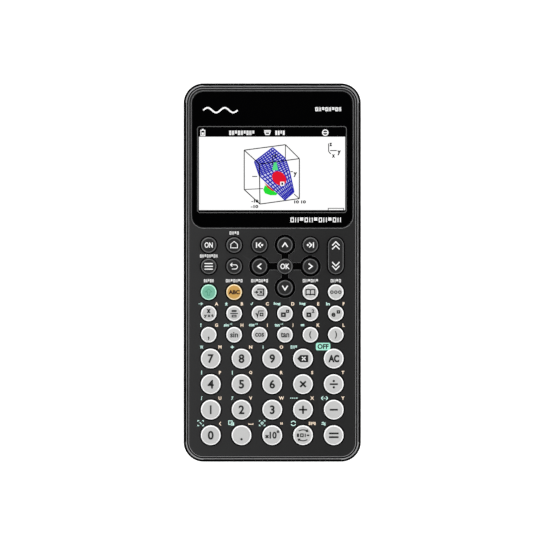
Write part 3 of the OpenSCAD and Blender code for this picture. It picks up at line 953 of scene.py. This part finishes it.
BAY_HALF_W = 24.2
BAY_HALF_L = (cell_high.y - cell_low.y) / 2 + 3
BAY_Y = (cell_high.y + cell_low.y) / 2
PIN_Y = cover_high.y - 2.0
COVER_HALF_W = cover_high.x


def rear_body():
    r, seam_r = 3, 0.15
    profile = arc((-r, BACK + r), r, -90, 0, 12)
    profile += arc((-seam_r, REAR_SEAM - seam_r), seam_r, 0, 90, 3)
    return loft(case_outline, profile)


def rear_cavity():
    return loft(case_outline, [(-WALL, FLOOR_TOP), (-WALL, REAR_SEAM + OVERCUT)])


def bay_block():
    """The bay's walls and roof, and the thicker floor round the cover."""
    walls = slab(0, BAY_Y, BAY_HALF_W + 1, BAY_HALF_L + 1, BACK + 0.1, ROOF + 0.8)
    rim = block((-COVER_HALF_W - 2.3, cover_low.y - 3, BACK + 0.1),
                (COVER_HALF_W + 2.3, PIN_Y + 4.4, BACK + COVER_T + 1.2))
    return [walls, rim]


def bay_hollow():
    return slab(0, BAY_Y, BAY_HALF_W, BAY_HALF_L, BACK - OVERCUT, ROOF)


def rebate():
    """The step that the cover lies in, with a gap all round."""
    gap = 0.15
    low_y, high_y = cover_low.y - gap, PIN_Y + COVER_T / 2 + gap
    shape = rect_shape(COVER_HALF_W + gap, (high_y - low_y) / 2, 0.3, 6)
    return loft(shape, mouth_below(BACK, BACK + COVER_T + 0.1, 0.15), (0, (low_y + high_y) / 2))


def hook_slots():
    """Room for the cover's hooks and for its latch."""
    z = BACK + COVER_T
    out = [block((x - 3.4, PIN_Y - 2.6, z), (x + 3.4, PIN_Y + 3.2, z + 2.5)) for x in HOOK_XS]
    return out + [block((-5.6, cover_low.y + 1.7, z), (5.6, cover_low.y + 5, 7))]


def back_holes():
    """Counterbores, foot pockets and the hole over the reset switch."""
    screw_r, foot_r, reset_r, reset_place = 2.2, 4.05, 0.8, (12.2, -14.6)
    through = mouth_below(BACK, FLOOR_TOP + OVERCUT)
    pocket = mouth_below(BACK, feet_high.z, 0.12)
    out = [bore(screw_r, through, at, 48) for at in SCREW_PLACES]
    out += [bore(foot_r, pocket, at, 64) for at in FOOT_PLACES]
    return out + [bore(reset_r, through, reset_place, 32)]


def finger_scoop():
    """A shallow dish at the cover's latch."""
    r, length, depth = 7.2, 4.0, 1
    dish = lathe([(r, 0), (r, length)], (0, 0), 96)
    turned(dish, (0, 2, 1))
    bmesh.ops.reverse_faces(dish, faces=dish.faces)
    return moved(dish, (0, cover_low.y - length, BACK - r + depth))


def rear_posts():
    """Posts with the seats that the screw heads bear on."""
    low, r, head_hole_r, shank_hole_r = BACK + 0.3, 3, 2.2, 1.2
    profile = [(head_hole_r, low), (r, low), (r, REAR_SEAM), (shank_hole_r, REAR_SEAM)]
    profile += [(shank_hole_r, SCREW_SEAT), (head_hole_r, SCREW_SEAT)]
    return [lathe(profile, at, 40, True) for at in SCREW_PLACES]


def rear_lip():
    """The thin wall that locates the front case."""
    inset, thickness, low, high = WALL + 0.15, 1.0, REAR_SEAM - 2, REAR_SEAM + 1.4
    profile = [(-inset, low), (-inset, high), (-inset - thickness, high), (-inset - thickness, low)]
    return loft(case_outline, profile, hollow=True)


def cell_ribs():
    """Three ribs under the bay's roof, which part the cells."""
    half_w, half_l, depth = 0.4, 17, 3.2
    return [slab(i * CELL_PITCH, BAY_Y, half_w, half_l, ROOF - depth, ROOF + SINK, 0.15) for i in (-1, 0, 1)]


def make_rear_shell():
    shell = carved(rear_body(), [rear_cavity(), rebate(), bay_hollow(), merged(hook_slots()),
                                 merged(back_holes()), finger_scoop()])
    blocks = []
    for part in bay_block():
        blocks.append(carved(part, [rebate(), bay_hollow(), merged(hook_slots()), finger_scoop()]))
    whole = merged([shell] + blocks + rear_posts() + [rear_lip()] + cell_ribs())
    return piece("rear_shell", whole, "case", [REAR], ["rear_case"])


def make_battery_cover():
    """Flush cover with one full-round edge that turns in the rebate, two hooks and a latch."""
    half_t = COVER_T / 2

    def shape(grow):
        near = arc((cover_low.y + 0.3, BACK + 0.3), 0.3 + grow, 180, 270, 4)
        far = arc((PIN_Y, BACK + half_t), half_t + grow, -90, 90, 16)
        back = arc((cover_low.y + 0.2, BACK + COVER_T - 0.2), 0.2 + grow, 90, 180, 3)
        return near + far + back

    w, r = COVER_HALF_W, 0.2
    ends = [(-r, -w), (-0.06, -w + 0.06), (0, -w + r), (0, w - r), (-0.06, w - 0.06), (-r, w)]
    plate = turned(loft(shape, ends), (2, 0, 1))
    grips = []
    for i in range(5):
        grip = loft(pill_shape(0.35, 8.65, 8), mouth_below(BACK, BACK + 0.3, 0.12))
        turned(grip, (1, 0, 2))
        bmesh.ops.reverse_faces(grip, faces=grip.faces)
        grips.append(moved(grip, (0, cover_low.y + 4 + 1.6 * i, 0)))
    parts = [carved(plate, [merged(grips)])]
    root, hook_low, near_y, half_w = BACK + COVER_T - 0.1, BACK + COVER_T + 0.25, PIN_Y - 1.6, 3
    hook_high = hook_low + 0.9
    for x in HOOK_XS:
        parts.append(block((x - half_w, near_y, root), (x + half_w, PIN_Y - 0.4, hook_high), 0.12))
        parts.append(block((x - half_w, near_y, hook_low), (x + half_w, PIN_Y + 2, hook_high), 0.15))
    parts.append(slab(0, cover_low.y + 3, 5, 0.4, root, cover_high.z, 0.15))
    return piece("battery_door", merged(parts), "battery_cover", [REAR], ["battery_cover"])


def make_feet():
    foot_r, r = 4, 0.4
    profile = [(foot_r - r + a, z) for a, z in arc((0, r), r, -90, 0, 6)] + [(foot_r, feet_high.z)]
    parts = [lathe(profile, at) for at in FOOT_PLACES]
    return piece("feet", merged(parts), "case", [FOOT], ["rubber_feet"])


def make_screws():
    head_r, shank_r, edge, slot_half_l, slot_half_w, slot_depth = 2, 1, 0.3, 1.2, 0.28, 0.7
    head_low = screw_low.z
    profile = arc((head_r - edge, head_low + edge), edge, -90, 0, 4)
    profile += [(head_r, SCREW_SEAT), (shank_r, SCREW_SEAT), (shank_r, screw_high.z)]
    parts = []
    for x, y in SCREW_PLACES:
        slots = []
        for w, l in ((slot_half_l, slot_half_w), (slot_half_w, slot_half_l)):
            slots.append(slab(x, y, w, l, head_low - OVERCUT, head_low + slot_depth))
        parts.append(carved(lathe(profile, (x, y), 40), slots))
    return piece("screws", merged(parts), "case", [STEEL], ["case_screws"])


def one_cell(x, up):
    """A sleeved cell along Y, with its seam turned in at both ends and a button at one."""
    r, length, button_h, button_r = 5.25, cell_high.y - cell_low.y, 0.9, 1.9
    edge, dip, button_edge = 0.45, 0.12, 0.2
    top = length - button_h
    profile = [(r - 1.1, 0), (r - 0.9, dip)] + arc((r - edge, edge), edge, -90, 0, 5)
    profile += arc((r - edge, top - edge), edge, 0, 90, 5) + [(r - 0.9, top - dip), (r - 1.1, top)]
    profile += [(button_r, top)]
    profile += arc((button_r - button_edge, length - button_edge), button_edge, 0, 90, 3)
    cell = lathe(profile)
    band, bare_end, band_from = 1, 2, 0.8 * length
    for face in cell.faces:
        centre = face.calc_center_median()
        if centre.xy.length < r - 1:
            face.material_index = bare_end
        elif centre.z > band_from:
            face.material_index = band
    spin = 1 if up else -1
    for v in cell.verts:
        along = v.co.z - length / 2
        v.co = (v.co.x * spin + x, spin * along + BAY_Y, v.co.y + (cell_high.z + cell_low.z) / 2)
    bmesh.ops.reverse_faces(cell, faces=cell.faces)
    return cell


def make_cells():
    """Four cells side by side, every other one turned round."""
    parts = [one_cell((i - 1.5) * CELL_PITCH, i % 2 == 0) for i in range(4)]
    return piece("cells", merged(parts), "case", [SLEEVE, SLEEVE_BAND, NICKEL], ["batteries"])


# ---------- keys ----------

KEY_SLOTS = {"key_dark": KEY_DARK, "key_light": KEY_LIGHT, "key_mint": KEY_MINT, "key_amber": KEY_AMBER}
KEY_INKS = {"key_dark": WHITE_INK, "key_light": BLACK_INK, "key_mint": GREEN_INK, "key_amber": BROWN_INK}
SLOT_OF = {part["node"]: part["material_slot"] for part in frame["record"]["subparts"]}


def key_profile(r, low):
    """Half section of a key: plunger, flange under the panel, and cap with a rounded rim."""
    flange_low = low + 0.6
    flange_high = flange_low + KEY_FLANGE_T
    flange_r = r + KEY_FLANGE_OUT
    rim = 0.8
    profile = [(PLUNGER_R, low), (PLUNGER_R, flange_low), (flange_r - 0.1, flange_low)]
    profile += [(flange_r, flange_low + 0.1), (flange_r, flange_high - 0.1), (flange_r - 0.1, flange_high)]
    profile += [(r, flange_high)] + arc((r - rim, KEY_TOP - rim), rim, 0, 90, 10)
    return profile


def make_key(name):
    low, high = node_box(name)
    r = LARGE_R if is_large(name) else SMALL_R
    slot = SLOT_OF[name]
    cap = lathe(key_profile(r, low.z), middle(name), 96 if is_large(name) else 80)
    piece(name + "_cap", cap, name, [KEY_SLOTS[slot]], [name])
    marks = Print(middle(name), KEY_TOP)
    MARKS[name](marks)
    marks.finish(name + "_print", name, slot, KEY_INKS[slot])
    if name == "key_delete":
        cross = Print(middle(name), KEY_TOP + INK)
        cross.line([(-0.5, -0.85), (1.2, 0.85)], 0.5).line([(-0.5, 0.85), (1.2, -0.85)], 0.5)
        cross.finish(name + "_cross", name, slot, WHITE_INK)


def make_rocker():
    low, flange_out, flange_t, rim, pin_r, pin_reach = rocker_low.z, 0.8, 0.6, 0.6, 0.7, 6
    profile = [(flange_out, low), (flange_out, low + flange_t), (0, low + flange_t)]
    profile += arc((-rim, KEY_TOP - rim), rim, 0, 90, 10)
    body = loft(pill_shape(SMALL_R, ROCKER_REACH), profile, ROCKER)
    pin = turned(lathe([(pin_r, -pin_reach), (pin_r, pin_reach)], (0, 0), 24), (2, 0, 1))
    pin = moved(pin, (*ROCKER, UNDER - 0.8))
    piece("rocker_cap", merged([body, pin]), "page_rocker", [KEY_DARK], ["page_rocker"])
    marks = Print(ROCKER, KEY_TOP)
    for y, turn in ((5.75, 0), (3.95, 0), (-3.95, 180), (-5.75, 180)):
        marks.line(chevron(0, y, 1.75, 0.9, turn), 0.5)
    marks.finish("rocker_print", "page_rocker", "key_dark", WHITE_INK)


# ---------- window and the picture on the display ----------

def make_window():
    edge = 0.25
    profile = [(0, glass_low.z)] + arc((-edge, glass_high.z - edge), edge, 0, 90, 6)
    glass = loft(rect_shape(*half_size("display_window"), GLASS_CORNER_R, 24), profile, GLASS_MID)
    return piece("window_glass", glass, "case", [WINDOW], ["display_window"])


def make_window_prints():
    """The thin frame line round the lit area, and plain marks in the corners of the border."""
    face, thickness, lit_middle = glass_high.z, 0.006, (-0.15, 49.3)
    line = Print(lit_middle, face, thickness)
    line.line(round_rect(35.65, 20.6, 1.2, 6), 0.3, True)
    line.finish("window_frame_line", "case", "window", FRAME_INK)
    marks = Print((0, 0), face, thickness)
    left, length, middle_y, rise, steps = -33.0, 16.4, 77.75, 1.15, 44
    turn = 4 * math.pi / steps
    wave = [(left + length * i / steps, middle_y + rise * math.sin(turn * i)) for i in range(steps + 1)]
    marks.line(wave, 0.75)
    marks.blocks(26.8, 78.2, 12.8, 1.9, 8, 0.4)
    marks.blocks(20.8, 25.2, 24.8, 2.3, 11, 0.42)
    marks.finish("window_marks", "case", "window", WHITE_INK)


def screen_layer(level, z_step=0.004):
    """A layer of the picture; each lies a little over the one below."""
    return Print((0, 0), glass_high.z + level * z_step, z_step)


# the picture's points are in millimetres from the middle of the case
CUBE = {
    "front_low": (-5.88, 32.78), "front_high": (-6.17, 51.93), "right_low": (12.98, 35.39),
    "right_high": (12.98, 54.54), "left_low": (-13.42, 39.74), "left_high": (-13.42, 58.60),
    "back_high": (6.31, 61.21),
}
CUBE_EDGES = [
    ("front_low", "right_low"), ("right_low", "right_high"), ("right_high", "back_high"),
    ("back_high", "left_high"), ("left_high", "left_low"), ("left_low", "front_low"),
    ("front_low", "front_high"), ("front_high", "left_high"), ("front_high", "right_high"),
]
# the plotted surface's outline: up its right side, then down its left
RIGHT_SIDE = [(0.21, 59.76), (6.31, 54.54), (8.05, 49.32), (10.37, 38.58)]
LEFT_SIDE = [(-8.49, 53.09), (-6.17, 46.41), (6.02, 34.81)]
SURFACE = [LEFT_SIDE[2]] + RIGHT_SIDE[::-1] + LEFT_SIDE[:2]


def along(points, t):
    """The point at a share of the way along a broken line."""
    place = t * (len(points) - 1)
    i = min(int(place), len(points) - 2)
    a, b = Vector(points[i]), Vector(points[i + 1])
    return a.lerp(b, place - i)


def surface_grid(layer):
    """The plotted surface's two families of grid lines."""
    across, lengthwise, steps, width = 18, 9, 10, 0.62
    for i in range(across + 1):
        t = i / across
        layer.line([along(LEFT_SIDE, t), along(RIGHT_SIDE, t)], width)
    for i in range(lengthwise + 1):
        s = i / lengthwise
        line = [along(LEFT_SIDE, k / steps).lerp(along(RIGHT_SIDE, k / steps), s) for k in range(steps + 1)]
        layer.line(line, width)
    layer.line(SURFACE, 0.3, True)


def wire_box(layer):
    """The plot's wire box, its tick marks and its numbers."""
    for a, b in CUBE_EDGES:
        layer.line([CUBE[a], CUBE[b]], 0.45)
    layer.line([CUBE["left_low"], (-4.4, 40.2)], 0.36).line([CUBE["back_high"], (6.31, 54.6)], 0.36)
    layer.line([(10.4, 37.6), CUBE["right_low"]], 0.36)
    layer.line([(-9.6, 46.0), (-7.2, 46.0)], 0.4).line([(8.7, 48.3), (9.9, 48.3)], 0.4)
    layer.glyph("y", 11.0, 46.9, 2.3, 1.7, 0.05).glyph("z", 1.5, 55.8, 1.6, 1.3, 0.05)
    layer.glyph("-10", -8.3, 34.2, 1.5, 3.4, 0.05).glyph("-10", -8.5, 31.6, 1.5, 3.6, 0.05)
    layer.glyph("10 10", 13.3, 33.8, 1.5, 5.6, 0.05)


def axes_icon(layer):
    layer.line([(27.0, 61.8), (27.0, 58.0), (28.0, 56.8)], 0.42).line([(27.7, 58.4), (30.9, 58.4)], 0.42)
    layer.glyph("z", 28.0, 61.3, 1.6, 1.3, 0.05).glyph("y", 32.0, 57.3, 2.3, 1.7, 0.05)
    layer.glyph("x", 29.3, 55.8, 1.6, 1.5, 0.05)


def make_status_bar():
    """Battery, tray and globe signs, and bars in place of the two small words."""
    y = 67.0
    status = screen_layer(1)
    status.line([(-34.2, y - 1.5), (-32.3, y - 1.5), (-32.3, y + 1.1), (-34.2, y + 1.1)], 0.4, True)
    status.bar(-33.25, y + 1.5, 0.9, 0.5).bar(-33.25, y - 0.5, 1.0, 1.1)
    status.blocks(-14.6, y - 0.1, 12.4, 2.1, 9, 0.42).blocks(3.7, y - 0.1, 4.8, 2.1, 4, 0.42)
    status.line([(-3.6, y + 0.3), (-3.1, y - 0.9), (-1.5, y - 0.9), (-1.0, y + 0.3)], 0.5, True)
    status.bar(-2.3, y + 0.95, 3.2, 0.45)
    status.ring(25.4, y, 1.3, 0.5).bar(25.4, y, 2.2, 0.45)
    status.finish("screen_status", "case", "window", lit("screen_status_white", (1, 1, 1), 1.05))


def make_screen():
    """A plotted solid in a wire box, drawn in layers on the lit area."""
    def show(layer, name, colour, strength=1.0):
        layer.finish("screen_" + name, "case", "window", lit("screen_" + name, colour, strength))

    area = [(-35.1, 29.9), (34.9, 29.9), (34.9, 65.0), (-35.1, 65.0)]
    show(screen_layer(1).fill(area), "area", (1, 1, 1), 1.05)
    green = [(-3.5, 41.8), (-4.3, 39.7), (-3.5, 37.9), (-0.9, 37.0), (1.9, 37.0), (2.4, 37.8), (0.1, 39.6)]
    show(screen_layer(2).fill(green), "green_spot", (0.02, 0.75, 0.04))
    show(screen_layer(3).fill(SURFACE), "surface", (0.66, 0.68, 0.95))
    grid = screen_layer(4)
    surface_grid(grid)
    show(grid, "surface_grid", (0.02, 0.02, 0.42))
    red = [(x * 3.3 - 0.25 * y * 3.3, y * 3.4) for x, y in circle(1, 48)]
    show(screen_layer(5).fill(red, (3.3, 45.1)), "red_spot", (0.8, 0.01, 0.03))
    sliver = [(-3.9, 43.2), (-3.0, 42.5), (1.0, 39.2), (0.2, 39.0), (-2.2, 40.6)]
    show(screen_layer(5).fill(sliver), "red_sliver", (0.6, 0.02, 0.03))
    cone = [(-0.1, 49.0), (2.9, 49.0), (2.0, 52.9), (0.9, 52.9)]
    show(screen_layer(5).fill(cone), "cone", (0.1, 0.75, 0.25))
    wires = screen_layer(6)
    wire_box(wires)
    axes_icon(wires)
    wires.line([(0.2, 56.4), (0.3, 51.4)], 0.4).frame(30.5, 30.2, 7.4, 1.1, 0.34)
    black = (0.003, 0.003, 0.003)
    show(wires, "wires", black, 0.2)
    cursor = (4.8, 42.5)
    show(screen_layer(7).fill(round_rect(1.0, 1.0, 0.15, 3), cursor), "cursor", (1, 1, 1))
    show(screen_layer(8).fill(round_rect(0.42, 0.55, 0.1, 3), cursor), "cursor_middle", black, 0.2)
    make_status_bar()


# ---------- prints on the panel ----------

LETTER_KEYS = """x fraction root power square exponential comma sin cos tan open_bracket close_bracket
    7 8 9 4 5 6 multiply divide 1 2 3 plus minus""".split()
# second functions in teal: the symbol, its height and its width
SYMBOLS = {
    "x": ("→", 1.2, 2.3), "fraction": ("±", 1.5, None), "root": ("√", 1.6, None),
    "power": ("log", 1.6, 3.2), "square": ("log", 1.6, 2.8), "exponential": ("ln", 1.5, 1.8),
    "comma": ("!", 1.7, 0.5), "sin": ("sin", 1.4, 2.4), "cos": ("cos", 1.2, 2.6),
    "tan": ("tan", 1.4, 2.4), "open_bracket": ("=", 0.9, 1.7),
    "7": ("π", 1.4, None), "8": ("÷", 1.4, None), "9": ("i", 1.6, None),
    "4": ("|", 1.9, 0.35), "5": ("|", 1.9, 0.35), "1": ("∫", 1.8, None), "2": ("∑", 1.6, None),
    "plus": ("····", 0.5, 3.6), "minus": ("(-)", 1.8, 3.2),
}
# words over the first rows of keys: how wide each is, how many bars stand for it and how far up it is
WORDS = {
    "home": (4.7, 4, 5.75), "menu": (8.6, 8, 4.95), "shift": (4.9, 5, 5.45), "alpha": (8.2, 7, 5.45),
    "variable": (8.3, 7, 5.45), "catalog": (7.6, 6, 5.45), "tools": (5.2, 4, 5.45),
}


def above(name, side):
    """The place of a small mark over a key's left (-1) or right (1) shoulder."""
    x, y = middle("key_" + name)
    return (x + side * 4.4, y + 5.5) if is_large("key_" + name) else (x + side * 3.75, y + 4.6)


def panel_print():
    return Print((0, 0), PANEL)


def make_word_marks():
    marks = panel_print()
    for name, (width, count, up) in WORDS.items():
        x, y = middle("key_" + name)
        marks.blocks(x, y + up, width, 1.5, count)
    marks.finish("panel_words", "case", "front_plastic", WHITE_INK)


def make_letters():
    marks = panel_print()
    for i, name in enumerate(LETTER_KEYS):
        marks.glyph(chr(ord("A") + i), *above(name, 1), 1.6, None, 0.035)
    x, y = middle("key_point")
    marks.line([(x + 3.5, y + 5.7), (x + 3.5, y + 5.2), (x + 5.5, y + 5.2), (x + 5.5, y + 5.7)], 0.35)
    x, y = middle("key_0")
    marks.line(chevron(x + 4.5, y + 5.5, 0.9, 0.4, 90), 0.35)
    x, y = middle("key_times_ten")
    marks.bar(x + 4.1, y + 5.6, 0.4, 1.1).bar(x + 4.8, y + 5.6, 0.4, 1.1)
    x, y = middle("key_format")
    marks.blocks(x + 4.4, y + 5.6, 3.5, 1.5, 4)
    marks.finish("panel_letters", "case", "front_plastic", AMBER_INK)


def make_symbols():
    marks = panel_print()
    for name, (text, height, width) in SYMBOLS.items():
        x, y = above(name, -1)
        marks.glyph(text, x, y, height, width, 0.03)
        if text in ("sin", "cos", "tan"):
            marks.bar(x + 1.9, y + 0.5, 0.8, 0.25).bar(x + 2.6, y + 0.55, 0.25, 0.9)
    marks.blocks(*above("delete", -1), 3.3, 1.5, 3)
    corner_marks(marks, middle("key_0"), True)
    x, y = middle("key_point")
    marks.frame(x - 5.3, y + 6.0, 1.7, 1.7, 0.36).fill(rectangle(x - 4.35, y + 5.35, 1.5, 1.5))
    corner_marks(marks, middle("key_times_ten"), False)
    x, y = middle("key_format")
    for start in (20, 200):
        marks.line(arc((x - 4.6, y + 5.65), 1.1, start, start + 140, 10), 0.42)
    x, y = middle("key_enter")
    for up in (5.9, 5.1):
        wave = [(x - 5.8, y + up), (x - 4.9, y + up + 0.3), (x - 4.4, y + up - 0.3), (x - 3.9, y + up)]
        marks.line(wave, 0.35)
    marks.finish("panel_symbols", "case", "front_plastic", TEAL_INK)


def corner_marks(marks, key, diagonal):
    """Four corner brackets over a key, round a small middle mark."""
    x, y = key[0] - 4.85, key[1] + 5.75
    bracket = [(1.35, 0.7), (1.35, 1.25), (0.7, 1.25)]
    for side in (-1, 1):
        for end in (-1, 1):
            marks.line([(x + side * a, y + end * b) for a, b in bracket], 0.34)
    if diagonal:
        marks.line([(x - 0.5, y + 0.5), (x + 0.5, y - 0.5)], 0.34)
    else:
        marks.ring(x, y, 0.5, 0.34)


def make_badge():
    """The mint badge by the clear key, with a dark off mark."""
    x, y = middle("key_clear")
    at = (x - 5.1, y + 5.75)
    badge = Print(at, PANEL)
    badge.fill(round_rect(3.45, 1.8, 0.8, 8))
    badge.finish("off_badge", "case", "front_plastic", BADGE)
    mark = Print(at, PANEL + INK)
    mark.glyph("OFF", 0, 0, 2.4, 5.3, 0.035)
    mark.finish("off_badge_mark", "case", "front_plastic", BLACK_INK)


# ---------- studio ----------

def paint(node_name, mat):
    """Gives a CAD node that stays its finished material."""
    slots = frame["nodes"][node_name].data.materials
    slots.clear()
    slots.append(mat)


def make_floor():
    """Pale paper, with an opening hidden under the object that shows its back from below."""
    half_side, thickness, inset = 3000, 1, 5
    outline = round_rect(HALF_W - inset, HALF_L - inset, 1, 4)
    sheet = block((-half_side, -half_side, -thickness), (half_side, half_side, 0))
    bm = carved(sheet, [filled(outline, -thickness - OVERCUT, OVERCUT)])
    bmesh.ops.scale(bm, vec=(MM, MM, MM), verts=bm.verts)
    floor = placed("floor", as_mesh("floor", bm))
    mat = Surface("floor_paper", 0.9, Emission_Color=(1, 1, 1, 1), Emission_Strength=0.55)
    mat.feed(mat.mix(mat.noise(4.0), (0.93, 0.93, 0.93), (0.96, 0.96, 0.96)))
    floor.data.materials.append(mat.material)


def make_world():
    """A soft tent of light that is dark straight overhead, so the window stays black."""
    world = bpy.data.worlds.new("studio")
    bpy.context.scene.world = world
    world.use_nodes = True
    tree = world.node_tree
    place = tree.nodes.new("ShaderNodeTexCoord")
    axes = tree.nodes.new("ShaderNodeSeparateXYZ")
    fade = tree.nodes.new("ShaderNodeValToRGB")
    fade.color_ramp.elements[0].position = 0.3
    fade.color_ramp.elements[0].color = (1.0, 1.0, 1.0, 1)
    fade.color_ramp.elements[1].position = 0.93
    fade.color_ramp.elements[1].color = (0.0, 0.0, 0.0, 1)
    fade.color_ramp.elements.new(0.75).color = (0.55, 0.55, 0.55, 1)
    tree.links.new(place.outputs["Generated"], axes.inputs["Vector"])
    tree.links.new(axes.outputs["Z"], fade.inputs["Fac"])
    tree.links.new(fade.outputs["Color"], tree.nodes["Background"].inputs["Color"])
    tree.nodes["Background"].inputs["Strength"].default_value = 1.6


def soft_light(name, place, size, watts):
    data = bpy.data.lights.new(name, "AREA")
    data.shape = "DISK"
    data.size = size
    data.energy = watts
    light = placed(name, data)
    light.location = place
    light.rotation_euler = (-Vector(place)).to_track_quat("-Z", "Y").to_euler()


def make_camera():
    """Straight down on the keys, through a long lens."""
    distance = 1.2
    field = 0.2586
    data = bpy.data.cameras.new("camera")
    data.sensor_width = 36
    data.lens = 36 * distance / field
    data.clip_end = 20
    camera = placed("camera", data)
    camera.location = (-0.00108, 0.0012, PANEL * MM + distance)
    bpy.context.scene.camera = camera


make_front_shell()
make_rear_shell()
make_battery_cover()
make_feet()
make_screws()
make_cells()
for key in KEYS:
    make_key(key)
make_rocker()
make_window()
make_window_prints()
make_screen()
make_word_marks()
make_letters()
make_symbols()
make_badge()
paint("display_module", PANEL_METAL)
paint("key_membrane", SILICONE)
paint("main_board", BOARD)
paint("battery_contacts", NICKEL)
make_floor()
make_world()
soft_light("key_light_lamp", (-0.45, 0.75, 0.6), 1.2, 6.2)
soft_light("fill_lamp", (0.7, -0.3, 0.5), 0.9, 2.3)
make_camera()
bpy.context.scene.view_settings.view_transform = "Standard"
